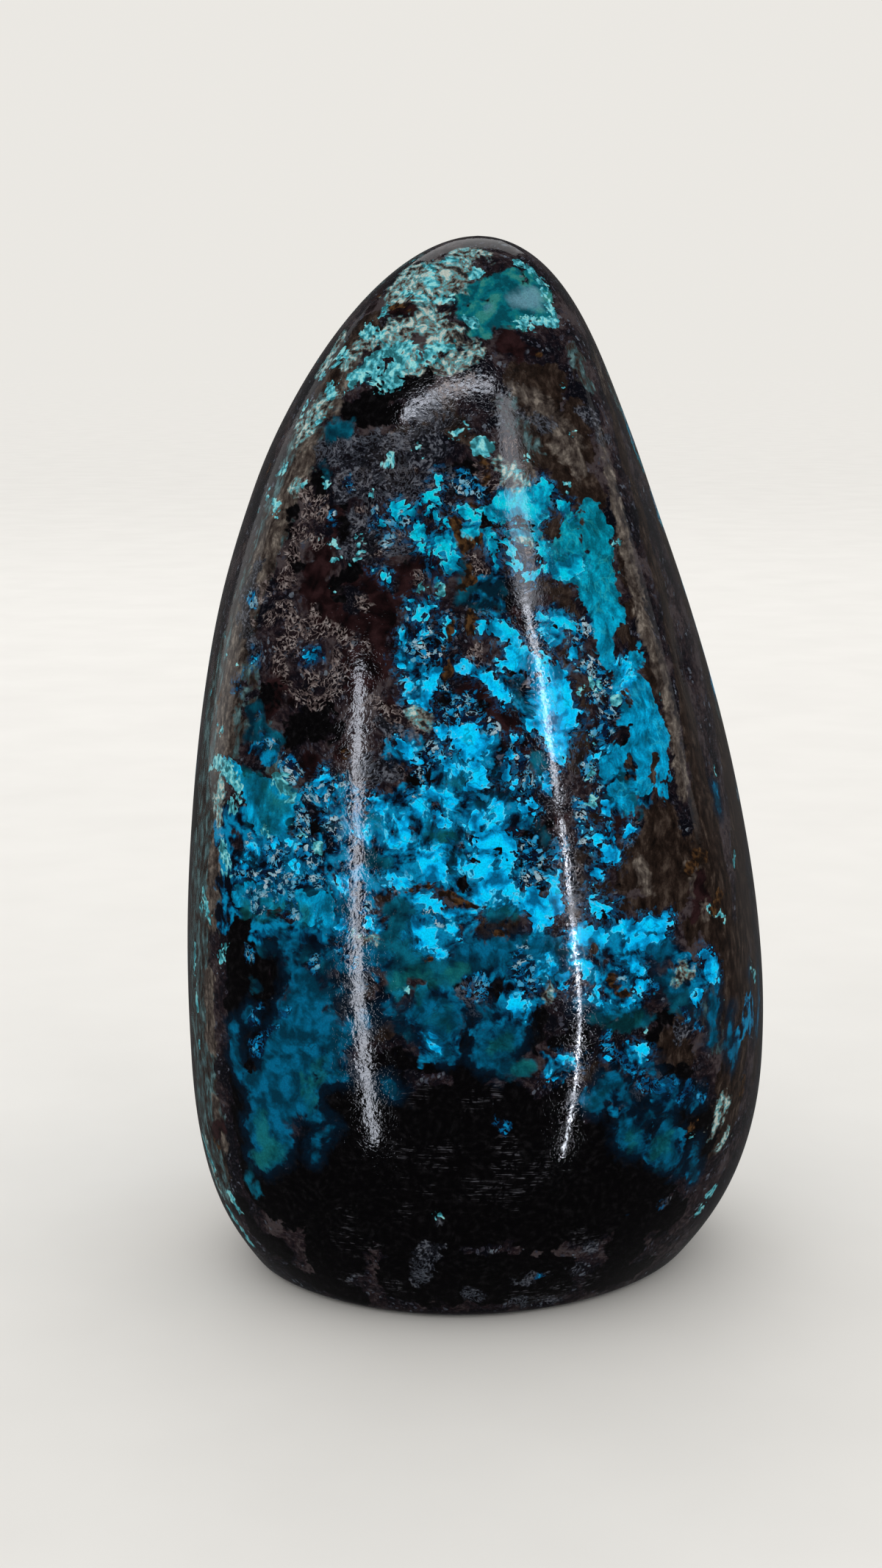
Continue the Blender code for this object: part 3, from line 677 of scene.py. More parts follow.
        ((770, 740, 6), (775, 752, 6)), ((560, 400, 8),), ((475, 500, 10), (450, 560, 12)),
        # down the left flank: a painted reflection, the grey veil that the flank mirrors
        ((420, 600, 12), (395, 660, 12), (370, 740, 12)), ((352, 790, 10), (340, 850, 10)),
        ((318, 950, 10), (308, 1020, 10)), ((300, 1110, 18), (290, 1180, 20), (288, 1250, 18)),
        ((284, 1330, 18), (286, 1420, 18)), ((292, 1500, 14), (305, 1560, 10)),
        ((420, 620, 18), (380, 700, 22), (350, 780, 24)),
        ((350, 780, 24), (325, 860, 26), (305, 960, 24)), ((305, 960, 24), (296, 1040, 16)),
        # on the right
        ((925, 1312, 6),), ((985, 1500, 9), (975, 1530, 9)), ((940, 1180, 10), (960, 1240, 10)),
        ((870, 1175, 10), (880, 1215, 8)),
    ),
    "maroon": (
        ((440, 750, 20), (430, 785, 24), (425, 815, 18)), ((440, 830, 20), (465, 850, 20)),
        ((385, 780, 10),), ((380, 935, 18), (370, 965, 16)),
        ((505, 790, 16), (515, 850, 22), (510, 910, 22)), ((530, 960, 14),),
        ((545, 780, 16), (550, 805, 12)), ((575, 770, 10), (595, 760, 8)), ((480, 790, 10),),
        ((455, 705, 12),), ((700, 855, 10), (712, 870, 10), (700, 840, 8)),
        ((640, 940, 18), (665, 960, 16), (690, 985, 14)), ((715, 1020, 14), (738, 1018, 10)),
        ((700, 1035, 10),), ((720, 935, 12), (715, 950, 10)), ((465, 1015, 10), (468, 1035, 8)),
        ((425, 1040, 14),), ((690, 460, 16), (702, 476, 12)), ((425, 895, 13), (436, 880, 9)),
        ((480, 900, 14), (478, 940, 12)), ((730, 480, 10),), ((540, 418, 12), (560, 425, 8)),
        ((516, 395, 8), (508, 415, 6)), ((560, 890, 7),), ((572, 1250, 8), (600, 1245, 8)),
        ((425, 1205, 9),), ((345, 1182, 9), (360, 1186, 7)), ((600, 750, 5),),
        ((640, 1250, 6), (660, 1235, 5)), ((740, 820, 12), (760, 822, 8)),
        ((850, 1105, 9), (835, 1120, 9)), ((775, 1115, 7),), ((785, 1145, 8),), ((825, 1180, 10),),
        ((950, 1235, 14), (955, 1200, 12)), ((575, 1298, 6), (582, 1302, 4)), ((500, 1215, 6),),
        ((760, 1265, 6),), ((560, 1090, 5),), ((700, 1258, 8),), ((946, 1530, 10),),
        ((290, 1545, 12), (300, 1530, 8)),
    ),
    "black_and_shade": (
        ((480, 555, 16), (510, 545, 22), (545, 525, 18), (590, 508, 10)),
        ((500, 572, 16), (530, 560, 14)), ((430, 650, 10), (436, 668, 8)),
        ((465, 690, 9), (470, 730, 8)), ((395, 700, 9), (400, 770, 8)),
        ((475, 780, 10), (455, 790, 9)), ((465, 810, 8),),
        ((412, 945, 4), (435, 965, 18), (400, 985, 18)), ((365, 935, 12), (360, 960, 10)),
        ((420, 985, 20), (450, 990, 14)), ((395, 1005, 14),),
        ((560, 870, 12), (590, 880, 12), (565, 930, 6)), ((610, 960, 10), (600, 925, 6)),
        ((560, 755, 8),), ((600, 690, 6), (570, 700, 6)), ((630, 650, 22), (650, 668, 12)),
        ((690, 820, 9), (705, 800, 6)), ((575, 1025, 16), (590, 1050, 12), (570, 1060, 10)),
        ((550, 1090, 10), (560, 1088, 8)), ((600, 1102, 5), (580, 1098, 5)),
        ((640, 1012, 0), (690, 1020, 8)), ((700, 1080, 8), (715, 1070, 8), (712, 1050, 8)),
        ((720, 1140, 14), (722, 1170, 16), (712, 1198, 12)), ((735, 1190, 9), (735, 1205, 6)),
        ((745, 1120, 7),), ((630, 1196, 5), (628, 1206, 7)), ((681, 1152, 4), (679, 1160, 4)),
        ((643, 1167, 5), (647, 1172, 4)), ((687, 1172, 4),), ((660, 1155, 2),), ((606, 1122, 3),),
        ((667, 1216, 2),), ((420, 1115, 14), (410, 1150, 12)), ((435, 1130, 6),),
        ((380, 1170, 9), (405, 1160, 8)), ((440, 1105, 8),), ((425, 1175, 9), (440, 1168, 8)),
        ((320, 1290, 20), (340, 1330, 26), (340, 1370, 20)), ((370, 1300, 20), (385, 1330, 14)),
        ((350, 1262, 14),), ((400, 1262, 6), (412, 1310, 8)), ((430, 1322, 9), (440, 1330, 6)),
        ((370, 1350, 18), (350, 1410, 14)), ((365, 1385, 12),), ((338, 1452, 9),),
        ((335, 1500, 9),), ((315, 1370, 10),), ((650, 1330, 16), (700, 1325, 12)),
        ((640, 1370, 8), (640, 1400, 10)), ((720, 1340, 10),), ((735, 1370, 8), (742, 1390, 8)),
        ((540, 1440, 16), (580, 1450, 14), (625, 1450, 14)), ((620, 1350, 8),), ((560, 1430, 8),),
        ((545, 1270, 4),), ((700, 1300, 5),), ((780, 1410, 14), (800, 1430, 10)),
        ((760, 1420, 10),), ((870, 1460, 10), (860, 1505, 8)), ((835, 1515, 8), (880, 1545, 5)),
        ((840, 1450, 7),), ((882, 1340, 9),), ((905, 1380, 12), (885, 1420, 12)), ((655, 960, 5),),
        ((848, 980, 1), (849, 1010, 2), (855, 1062, 2)),
        ((845, 1205, 2), (843, 1250, 2), (850, 1295, 2)),
        ((656, 716, 2), (690, 715, 1), (728, 719, 2)),
        ((330, 1270, 30), (335, 1400, 40), (340, 1520, 34), (360, 1620, 40)),
        ((440, 1490, 44), (510, 1490, 50)), ((900, 1500, 60), (950, 1560, 44), (830, 1570, 50)),
        ((700, 1330, 30), (700, 1400, 40), (640, 1440, 40)), ((470, 1350, 26), (500, 1390, 24)),
        ((470, 1470, 26), (510, 1450, 24)), ((450, 1500, 22), (480, 1520, 26)), ((610, 1345, 14),),
        ((410, 1580, 24), (430, 1520, 14)), ((545, 1340, 10),), ((610, 1490, 20), (680, 1480, 14)),
        ((790, 1540, 20), (760, 1480, 14)), ((900, 1600, 16),),
        # the dark foot, from the left round to the right: dark rock with painted shade and a painted
        # dark reflection where the foot curves in under
        ((330, 1640, 14), (350, 1680, 20), (380, 1700, 24)),
        ((400, 1575, 16), (430, 1600, 40), (400, 1640, 40)),
        ((470, 1560, 40), (470, 1640, 60), (450, 1720, 40)),
        ((520, 1530, 36), (560, 1560, 60), (560, 1660, 70)),
        ((560, 1740, 50), (640, 1740, 50), (740, 1740, 50)),
        ((600, 1500, 30), (640, 1540, 60), (650, 1640, 70)),
        ((690, 1500, 30), (720, 1560, 50), (740, 1650, 66)),
        ((740, 1510, 24), (780, 1560, 30), (800, 1650, 60)),
        ((820, 1580, 30), (860, 1640, 40), (850, 1710, 30)), ((890, 1620, 24), (910, 1660, 26)),
        ((400, 1730, 16), (480, 1760, 24)), ((820, 1740, 30), (880, 1720, 16)), ((930, 1640, 14),),
    ),
    "lens": (
        ((640, 402, 16), (670, 388, 17), (698, 374, 14)),
        ((634, 424, 13), (664, 428, 22), (700, 428, 22)),
        ((690, 404, 24), (722, 404, 24), (738, 424, 18)), ((644, 452, 9), (662, 448, 11)),
        ((722, 372, 10), (740, 400, 12)),
    ),
    "pearl": (
        ((704, 408, 12), (724, 404, 14)), ((736, 420, 7),), ((668, 418, 6),),
    ),
    "lace": (
        ((450, 610, 24), (520, 620, 34), (590, 606, 24)),
        ((470, 660, 26), (540, 660, 30), (604, 655, 18)), ((490, 715, 20), (540, 742, 16)),
        ((570, 560, 16), (600, 575, 14)), ((350, 770, 14), (330, 830, 16), (345, 880, 14)),
        ((500, 1045, 16), (540, 1050, 12)), ((520, 990, 12), (560, 1000, 10)),
        ((475, 750, 10), (520, 770, 10)), ((800, 560, 12), (820, 590, 12)),
        ((700, 560, 12), (740, 570, 14)), ((500, 1330, 14), (470, 1360, 12)),
        ((640, 1350, 14), (650, 1380, 10)), ((725, 1345, 12),), ((880, 1470, 14), (850, 1500, 8)),
        ((930, 1400, 14),), ((770, 1180, 10), (790, 1220, 10)), ((860, 1140, 14),),
        ((470, 1440, 12), (500, 1470, 10)), ((585, 1700, 14), (575, 1740, 10)), ((600, 1660, 9),),
        ((740, 1735, 9), (700, 1745, 7)), ((800, 1700, 12),), ((785, 1725, 9),), ((640, 1760, 10),),
        ((700, 1772, 8), (760, 1768, 8)), ((900, 1640, 9),), ((480, 1740, 10),),
    ),
    "crust": (
        ((412, 664, 12), (430, 680, 16), (424, 704, 14)),
        ((405, 728, 14), (425, 735, 14), (432, 750, 8)), ((398, 745, 10), (395, 760, 8)),
        ((392, 780, 11), (388, 800, 8)), ((385, 825, 12), (400, 842, 18)),
        ((400, 842, 18), (430, 848, 16), (450, 856, 11)), ((386, 880, 15), (382, 905, 12)),
        ((398, 872, 12),), ((390, 925, 7), (403, 945, 9), (428, 955, 9)),
        ((428, 955, 9), (448, 945, 10), (458, 915, 10), (455, 890, 8)),
        ((422, 915, 9), (424, 932, 6)), ((466, 868, 8), (468, 880, 5)),
        ((492, 812, 6), (495, 825, 6)), ((497, 960, 8), (520, 962, 7), (540, 972, 8)),
        ((560, 975, 10), (575, 990, 10)), ((500, 985, 9),), ((640, 762, 8), (655, 780, 9)),
        ((650, 890, 14), (640, 905, 8)), ((710, 930, 12),), ((540, 602, 14), (560, 615, 10)),
        ((500, 645, 14), (470, 660, 12)), ((530, 640, 12), (560, 650, 10)),
        ((485, 700, 12), (500, 690, 8)), ((545, 720, 7), (535, 740, 6)), ((505, 740, 10),),
        ((540, 765, 6),), ((560, 782, 6), (575, 780, 5)), ((690, 600, 10), (700, 640, 14)),
        ((600, 535, 12), (640, 515, 10)), ((340, 810, 16), (360, 800, 10)), ((365, 840, 12),),
        ((335, 850, 12),), ((496, 880, 7),), ((655, 640, 8), (665, 660, 8)), ((545, 1050, 8),),
        ((645, 1345, 12),), ((540, 1215, 6),), ((790, 1180, 8),), ((720, 755, 8),),
    ),
    "salt": (
        ((336, 1300, 7),), ((352, 1368, 6),), ((470, 1290, 12), (490, 1310, 10)), ((450, 700, 8),),
        ((520, 700, 12), (560, 712, 10)), ((700, 1290, 8), (730, 1340, 12)),
        ((565, 880, 18), (590, 885, 14)), ((580, 860, 12), (560, 845, 8)),
        ((560, 935, 8), (590, 950, 8)), ((600, 970, 10), (625, 985, 8)),
        ((585, 1012, 10), (590, 1040, 12)), ((575, 1050, 8),), ((632, 655, 14),), ((650, 670, 9),),
        ((560, 1085, 10),), ((722, 1145, 12), (722, 1175, 14), (715, 1198, 9)), ((735, 1192, 8),),
        ((695, 1170, 5), (690, 1180, 4)), ((640, 1168, 6),), ((628, 1206, 5),),
        ((800, 905, 12), (820, 925, 14), (812, 945, 10)),
        ((832, 958, 12), (825, 985, 12), (812, 1000, 9)), ((785, 870, 12), (795, 850, 8)),
        ((775, 893, 8),), ((800, 1050, 10), (812, 1070, 8), (806, 1095, 8)),
        ((785, 1090, 8), (790, 1105, 6)), ((790, 1150, 8),),
        ((620, 975, 14), (650, 975, 12), (635, 950, 10)), ((665, 990, 10),),
        ((610, 935, 9), (625, 955, 9)), ((705, 1025, 8), (715, 1060, 10)), ((345, 1150, 12),),
        ((370, 1140, 10), (385, 1165, 14), (370, 1185, 10)),
        ((412, 1100, 12), (415, 1130, 12), (420, 1160, 12)), ((425, 1080, 14), (470, 1060, 8)),
        ((450, 1120, 14), (462, 1150, 12)), ((400, 1195, 12), (430, 1200, 10)),
        ((320, 1180, 8), (345, 1190, 8)), ((480, 1100, 8), (490, 1080, 8)),
        ((440, 1150, 10), (425, 1180, 6)), ((440, 1095, 6),),
        ((345, 1215, 14), (395, 1205, 12), (400, 1240, 8)), ((350, 1235, 10),), ((480, 660, 8),),
        ((515, 690, 7),), ((525, 740, 8),), ((390, 1040, 14), (400, 1055, 10)),
        ((352, 985, 10), (365, 1005, 10)), ((380, 1020, 10),), ((650, 1335, 12), (640, 1360, 8)),
        ((705, 1330, 8), (720, 1345, 8)), ((848, 1328, 9),), ((430, 1310, 8),),
        ((885, 1345, 8), (880, 1330, 6)), ((825, 1415, 8), (845, 1440, 8)),
        ((860, 1455, 8), (880, 1475, 10)), ((900, 1480, 12), (915, 1470, 10)),
        ((935, 1490, 12), (960, 1490, 8)), ((925, 1370, 10), (945, 1400, 10)),
        ((680, 1530, 8), (690, 1545, 6)), ((340, 815, 12),), ((345, 1388, 8),),
        ((400, 1370, 0), (345, 1425, 9)), ((600, 1180, 5),), ((580, 1240, 8), (600, 1250, 6)),
        ((500, 1230, 8),), ((735, 1738, 4),), ((850, 1655, 5),), ((895, 1640, 5),),
    ),
    "rust": (
        ((606, 700, 4), (618, 706, 7), (622, 730, 6)),
        ((622, 730, 6), (632, 748, 5), (640, 742, 6)), ((650, 735, 4), (656, 720, 3)),
        ((634, 760, 5), (640, 790, 6), (628, 800, 5)), ((655, 690, 3), (640, 687, 3)),
        ((660, 660, 4), (668, 640, 4), (655, 625, 3)), ((640, 835, 5), (638, 860, 6)),
        ((615, 840, 5), (608, 880, 6)), ((612, 905, 4), (608, 925, 4)),
        ((585, 1208, 3), (600, 1214, 4), (620, 1222, 6), (640, 1232, 4)),
        ((640, 1232, 4), (660, 1236, 3), (675, 1230, 2)), ((552, 1212, 3), (570, 1206, 3)),
        ((690, 1272, 5), (670, 1270, 4)), ((660, 1285, 4),),
        ((832, 1328, 6), (836, 1342, 7), (850, 1350, 6)), ((575, 1296, 4), (583, 1302, 3)),
        ((946, 1528, 7), (938, 1538, 5)), ((905, 1512, 4),), ((980, 1218, 8), (970, 1240, 7)),
        ((960, 1165, 8),), ((1012, 1470, 8), (1010, 1490, 8)), ((290, 1548, 7), (296, 1560, 5)),
        ((264, 1170, 4), (266, 1185, 4)), ((300, 945, 6), (295, 955, 6)),
        ((270, 1010, 4), (266, 1040, 4)), ((330, 745, 4),), ((500, 1020, 3),), ((470, 1028, 5),),
        ((940, 1180, 8), (950, 1160, 6)), ((300, 1060, 4),), ((360, 650, 4), (368, 630, 4)),
        ((735, 480, 4),), ((540, 416, 8), (555, 420, 6)), ((516, 402, 5),),
        ((690, 590, 5), (700, 596, 4)),
    ),
    "scratch": (
        ((540, 1560, 14), (560, 1570, 10)), ((560, 1605, 10), (540, 1610, 8)), ((580, 1625, 8),),
        ((605, 1570, 16), (600, 1590, 10)), ((640, 1500, 12), (665, 1505, 8)),
        ((690, 1570, 20), (690, 1600, 14)), ((650, 1620, 18), (700, 1625, 12)),
        ((470, 1690, 18), (500, 1700, 14)), ((545, 1650, 10),), ((790, 1690, 14), (820, 1700, 12)),
        ((800, 1740, 16),), ((760, 1760, 20), (700, 1765, 14)), ((480, 1740, 18), (540, 1755, 14)),
        ((740, 1580, 16), (720, 1610, 10)), ((470, 1650, 10), (475, 1665, 8)),
        ((540, 600, 18), (520, 625, 14)), ((550, 640, 14),), ((560, 1490, 14), (575, 1480, 10)),
        ((680, 1490, 14),),
    ),
    "islands": (
        ((850, 938, 6), (857, 956, 6)), ((894, 1028, 4), (889, 1048, 6), (890, 1066, 5)),
        ((857, 1030, 4), (857, 1053, 5)), ((790, 696, 4), (792, 712, 4)), ((808, 1292, 9),),
    ),
    "inclusions": (
        ((630, 1196, 5), (628, 1206, 7)), ((681, 1152, 4), (679, 1160, 4)),
        ((643, 1167, 5), (647, 1172, 4)), ((687, 1172, 4),), ((660, 1155, 2),), ((606, 1122, 3),),
        ((667, 1216, 2),), ((338, 1452, 9),), ((848, 980, 1), (849, 1010, 2), (855, 1062, 2)),
        ((845, 1205, 1), (843, 1250, 1), (850, 1295, 1)),
        ((656, 716, 2), (690, 715, 1), (728, 719, 2)), ((657, 690, 2), (658, 706, 2)),
        ((676, 734, 3), (680, 742, 2)), ((692, 895, 1), (693, 915, 1)), ((705, 912, 3),),
        ((755, 851, 3),), ((768, 966, 3),), ((697, 1052, 3),), ((820, 1238, 2),), ((824, 1246, 3),),
        ((560, 1168, 2),), ((690, 1196, 3),), ((656, 1202, 2),),
    ),
}


def only(thing):
    """Selects this object alone, and makes it the active one."""
    bpy.ops.object.select_all(action="DESELECT")
    thing.select_set(True)
    bpy.context.view_layer.objects.active = thing


def screen(red, green, blue):
    """A colour given as a screen shows it, from 0 to 255, as light."""
    light = []
    for value in (red, green, blue):
        share = value / 255
        light.append(share / 12.92 if share <= 0.04045 else ((share + 0.055) / 1.055) ** 2.4)
    return (*light, 1.0)


# ---------------------------------------------------------------- camera, floor and lights


def set_camera():
    """The camera, a little above the stone's middle and pointing slightly down."""
    lens = bpy.data.cameras.new("camera")
    lens.sensor_width = SENSOR
    lens.lens = FOCAL_LENGTH / FRAME_HEIGHT * SENSOR
    lens.clip_start = NEAREST
    camera = bpy.data.objects.new("camera", lens)
    camera.location = CAMERA_PLACE
    camera.rotation_euler = (math.radians(90 - CAMERA_PITCH), 0.0, 0.0)
    bpy.context.scene.collection.objects.link(camera)
    bpy.context.scene.camera = camera


def hang_lamp(name, middle, width, length, radiance, leaning=(0, 0, 1), colour=(1, 1, 1)):
    """A flat oblong lamp that faces the stone, its length along `leaning`.

    A mirror shows it as bright as `radiance`.
    """
    panel = bpy.data.lights.new(name, "AREA")
    panel.shape = "RECTANGLE"
    panel.size = width
    panel.size_y = length
    panel.energy = radiance * math.pi * width * length
    panel.color = colour
    lamp = bpy.data.objects.new(name, panel)
    back = (Vector(middle) - Vector(LAMP_AIM)).normalized()
    side = Vector(leaning).cross(back).normalized()
    up = back.cross(side).normalized()
    turned = Matrix((side, up, back)).transposed().to_4x4()
    lamp.matrix_world = Matrix.Translation(Vector(middle)) @ turned
    lamp.visible_camera = False
    bpy.context.scene.collection.objects.link(lamp)
    return lamp


def light_studio():
    """Strips whose reflections are the thin streaks on the polish, and dim panels at the sides."""
    for name, middle, width, length, radiance, leaning in STRIPS:
        lamp = hang_lamp(name, middle, width, length, radiance, leaning, STRIP_TINT)
        lamp.visible_diffuse = False
    for name, middle, width, length, radiance in PANELS:
        hang_lamp(name, middle, width, length, radiance)


def room_tone(level):
    """The room's light at this level."""
    return tuple(level * tint for tint in ROOM_TINT) + (1.0,)


def set_world():
    """Soft light from all round, which the polish mirrors only dimly, before a plain backdrop."""
    world = bpy.data.worlds.new("studio")
    bpy.context.scene.world = world
    world.use_nodes = True
    wires = Wiring(world.node_tree)
    rays = wires.put("ShaderNodeLightPath").outputs
    direction = wires.put("ShaderNodeTexCoord").outputs["Generated"]
    toward = wires.put("ShaderNodeSeparateXYZ", None, {0: direction}).outputs
    light = room_tone(ROOM_LIGHT)
    ahead, behind = (room_tone(level) for level in MIRRORED_ROOM)
    mirrored = wires.mixed(wires.eased(toward["Y"], *MIRRORED_FADE), ahead, behind)
    # the backdrop has the tone that the floor takes on far away, so that the one runs into the other
    backdrop = tuple(lit * share for lit, share in zip(light, screen(*FLOOR_TONE)))
    air = wires.mixed(rays["Is Glossy Ray"], light, mirrored)
    air = wires.mixed(rays["Is Camera Ray"], air, backdrop)
    wires.link(air, world.node_tree.nodes["Background"].inputs["Color"])


def lay_floor():
    """A plain pale floor, as far as the eye reaches."""
    bpy.ops.object.select_all(action="DESELECT")
    bpy.ops.mesh.primitive_circle_add(
        vertices=FLOOR_CORNERS, radius=FLOOR_RADIUS, fill_type="NGON"
    )
    floor = bpy.context.object
    floor.name = "studio_floor"
    floor.data.materials.append(pale_floor())
    floor.visible_glossy = False


# ---------------------------------------------------------------- the stone's shape


def select_flat_base(stone):
    """Selects the faces of the flat base, in edit mode."""
    bpy.ops.mesh.select_mode(type="FACE")
    bpy.ops.mesh.select_all(action="DESELECT")
    bpy.ops.object.mode_set(mode="OBJECT")
    for face in stone.data.polygons:
        face.select = face.normal.z < FACES_DOWN and face.center.z < TOUCHING
    bpy.ops.object.mode_set(mode="EDIT")


def close_base_in_rings():
    """Closes the open base with rings of quads that shrink to its middle."""
    bpy.ops.mesh.select_mode(type="EDGE")
    bpy.ops.mesh.select_all(action="DESELECT")
    bpy.ops.mesh.select_non_manifold(
        extend=False, use_wire=False, use_boundary=True, use_multi_face=False,
        use_non_contiguous=False, use_verts=False,
    )
    for ring in range(BASE_RINGS, 0, -1):
        shrink = ring / (ring + 1)
        bpy.ops.mesh.extrude_edges_move()
        bpy.ops.transform.resize(value=(shrink, shrink, 1.0), center_override=(0.0, 0.0, 0.0))
    bpy.ops.mesh.merge(type="CENTER")


def copy_of_solid():
    """The solid's skin as a piece of its own: joined, in quads, and evenly subdivided."""
    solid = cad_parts["chrysocolla_stone"]
    stone = bpy.data.objects.new("polished_stone", solid.data.copy())
    bpy.context.scene.collection.objects.link(stone)
    stone.data.materials.clear()
    only(stone)
    bpy.ops.object.mode_set(mode="EDIT")
    bpy.ops.mesh.select_all(action="SELECT")
    bpy.ops.mesh.remove_doubles(threshold=TOUCHING)
    select_flat_base(stone)
    bpy.ops.mesh.delete(type="ONLY_FACE")
    bpy.ops.mesh.select_all(action="SELECT")
    angle = math.radians(QUAD_ANGLE)
    bpy.ops.mesh.tris_convert_to_quads(face_threshold=angle, shape_threshold=angle)
    close_base_in_rings()
    bpy.ops.mesh.select_all(action="SELECT")
    bpy.ops.mesh.normals_make_consistent(inside=False)
    bpy.ops.object.mode_set(mode="OBJECT")
    skin = stone.modifiers.new("even_skin", "SUBSURF")
    skin.levels = SKIN_LEVELS
    skin.render_levels = SKIN_LEVELS
    bpy.ops.object.modifier_apply(modifier="even_skin")
    bpy.ops.object.shade_smooth()
    return stone


def sight_line(across, down):
    """The way that the camera looks through a pixel of its frame."""
    right = (across - FRAME_WIDTH / 2) / FOCAL_LENGTH
    up = (FRAME_HEIGHT / 2 - down) / FOCAL_LENGTH
    pitch = math.radians(CAMERA_PITCH)
    forward = math.cos(pitch) + up * math.sin(pitch)
    return Vector((right, forward, up * math.cos(pitch) - math.sin(pitch))).normalized()


def skin_under(tree, across, down):
    """The point of the skin behind a pixel, and the size of a pixel there."""
    point, _, _, reach = tree.ray_cast(Vector(CAMERA_PLACE), sight_line(across, down))
    if point is None:
        return None, None
    return point, reach / FOCAL_LENGTH


def skin_at(tree, bearing, height):
    """The point of the skin at a bearing from the front towards the right, and a height in mm."""
    turn = math.radians(bearing)
    outward = Vector((math.sin(turn), -math.cos(turn), 0.0))
    start = Vector((0.0, 0.0, height * MM)) + outward * OUTSIDE
    return tree.ray_cast(start, -outward)[0]


def mesh_arrays(stone):
    """The vertices' places and normals, as arrays."""
    count = len(stone.data.vertices)
    places = np.empty(count * 3)
    normals = np.empty(count * 3)
    stone.data.vertices.foreach_get("co", places)
    stone.data.vertices.foreach_get("normal", normals)
    return places.reshape(-1, 3), normals.reshape(-1, 3)


def skin_tree(stone):
    """The skin, ready for rays to be cast at it."""
    corners = [vertex.co.copy() for vertex in stone.data.vertices]
    faces = [face.vertices[:] for face in stone.data.polygons]
    return BVHTree.FromPolygons(corners, faces)


def wear_skin(stone, tree):
    """Adds the soft waves of the hand polish and the small dents, always inwards."""
    places, normals = mesh_arrays(stone)
    depth = np.zeros(len(places))
    above_foot = np.clip((places[:, 2] - FOOT_CLEAR) / FOOT_FADE, 0.0, 1.0)
    for i, place in enumerate(places):
        wave = noise.noise(Vector(place) / WAVE_SIZE)
        depth[i] = WAVE_DEPTH * (0.5 + 0.5 * wave) * above_foot[i]
    for across, down, half_width, half_height, deepest in DENTS:
        middle, pixel = skin_under(tree, across, down)
        if middle is None:
            continue
        apart = places - np.array(middle)
        level = np.hypot(apart[:, 0], apart[:, 1]) / (half_width * pixel)
        upright = apart[:, 2] / (half_height * pixel)
        depth += deepest * MM * np.exp(-(level**2 + upright**2))
    places -= normals * depth[:, None]
    places[:, 2] = np.clip(places[:, 2], 0.0, None)
    stone.data.vertices.foreach_set("co", places.ravel())
    stone.data.update()


# ---------------------------------------------------------------- where each mineral lies


def depth_in_stroke(places, points):
    """How deep each place lies inside a stroke of the brush, in mm; less than nothing outside it."""
    best = np.full(len(places), -np.inf)
    ends = list(zip(points, points[1:])) or [(points[0], points[0])]
    for (start, start_half), (end, end_half) in ends:
        along = end - start
        length = float(along @ along)
        share = np.zeros(len(places))
        if length > 0:
            share = np.clip((places - start) @ along / length, 0.0, 1.0)
        near = start + share[:, None] * along
        half = start_half + share * (end_half - start_half)
        best = np.maximum(best, half - np.linalg.norm(places - near, axis=1))
    return best / MM


def front_stroke(tree, chain):
    """A stroke's points on the skin, with their half widths in metres."""
    points = []
    for across, down, half in chain:
        point, pixel = skin_under(tree, across, down)
        if point is not None:
            points.append((np.array(point), half * pixel))
    return points


def dab(tree, hand, bearing, height, half):
    """A small lump of one to three overlapping rounds, about a bearing and a height in mm."""
    points = []
    lowest, highest = DAB_HEIGHTS
    steer = hand.uniform(0, math.tau)
    for _ in range(hand.randint(1, 3)):
        point = skin_at(tree, bearing, min(max(height, lowest), highest))
        if point is not None:
            points.append((np.array(point), half * MM))
        steer += hand.uniform(-DAB_TURN, DAB_TURN)
        bearing += DAB_STEP * half * math.cos(steer) * DEGREES_PER_MM
        height += DAB_STEP * half * math.sin(steer)
        half *= hand.uniform(DAB_TAPER, 1.0)
    return points


def uneven_size(hand, smallest, largest):
    """A size between the two, more often a small one."""
    return smallest + (largest - smallest) * hand.random() ** 2


def hidden_strokes(tree):
    """Dabs for the sides that face away from the camera, laid by a seeded hand."""
    hand = random.Random(HIDDEN_SEED)
    strokes = {name: [] for name in MINERALS}
    for name, many, smallest, largest, lowest, highest in LOOSE_MIX:
        for _ in range(many):
            bearing = hand.uniform(HIDDEN_FROM, 360 - HIDDEN_FROM)
            height = hand.uniform(lowest, highest)
            half = uneven_size(hand, smallest, largest)
            strokes[name].append(dab(tree, hand, bearing, height, half))
    for bearing, height, lean, half_length, half_width in NESTS:
        slope = math.radians(lean)
        for name, many, smallest, largest, looseness in NEST_MIX:
            for _ in range(many):
                along = hand.uniform(-half_length, half_length) * looseness
                aside = hand.gauss(0.0, NEST_SPREAD * half_width * looseness)
                level = along * math.cos(slope) - aside * math.sin(slope)
                rise = along * math.sin(slope) + aside * math.cos(slope)
                half = uneven_size(hand, smallest, largest)
                turned = bearing + level * DEGREES_PER_MM
                strokes[name].append(dab(tree, hand, turned, height + rise, half))
    return strokes


def spread_minerals(stone, tree):
    """Writes each mineral's depth inside its patches on the skin's vertices, in mm."""
    places, _ = mesh_arrays(stone)
    hidden = hidden_strokes(tree)
    for name, chains in MINERALS.items():
        depth = np.full(len(places), FAR_OUTSIDE)
        strokes = [front_stroke(tree, chain) for chain in chains]
        for points in strokes + hidden[name]:
            if points:
                depth = np.maximum(depth, depth_in_stroke(places, points))
        layer = stone.data.attributes.new(name, "FLOAT", "POINT")
        layer.data.foreach_set("value", depth.astype(np.float32))


# ---------------------------------------------------------------- nodes and groups of them


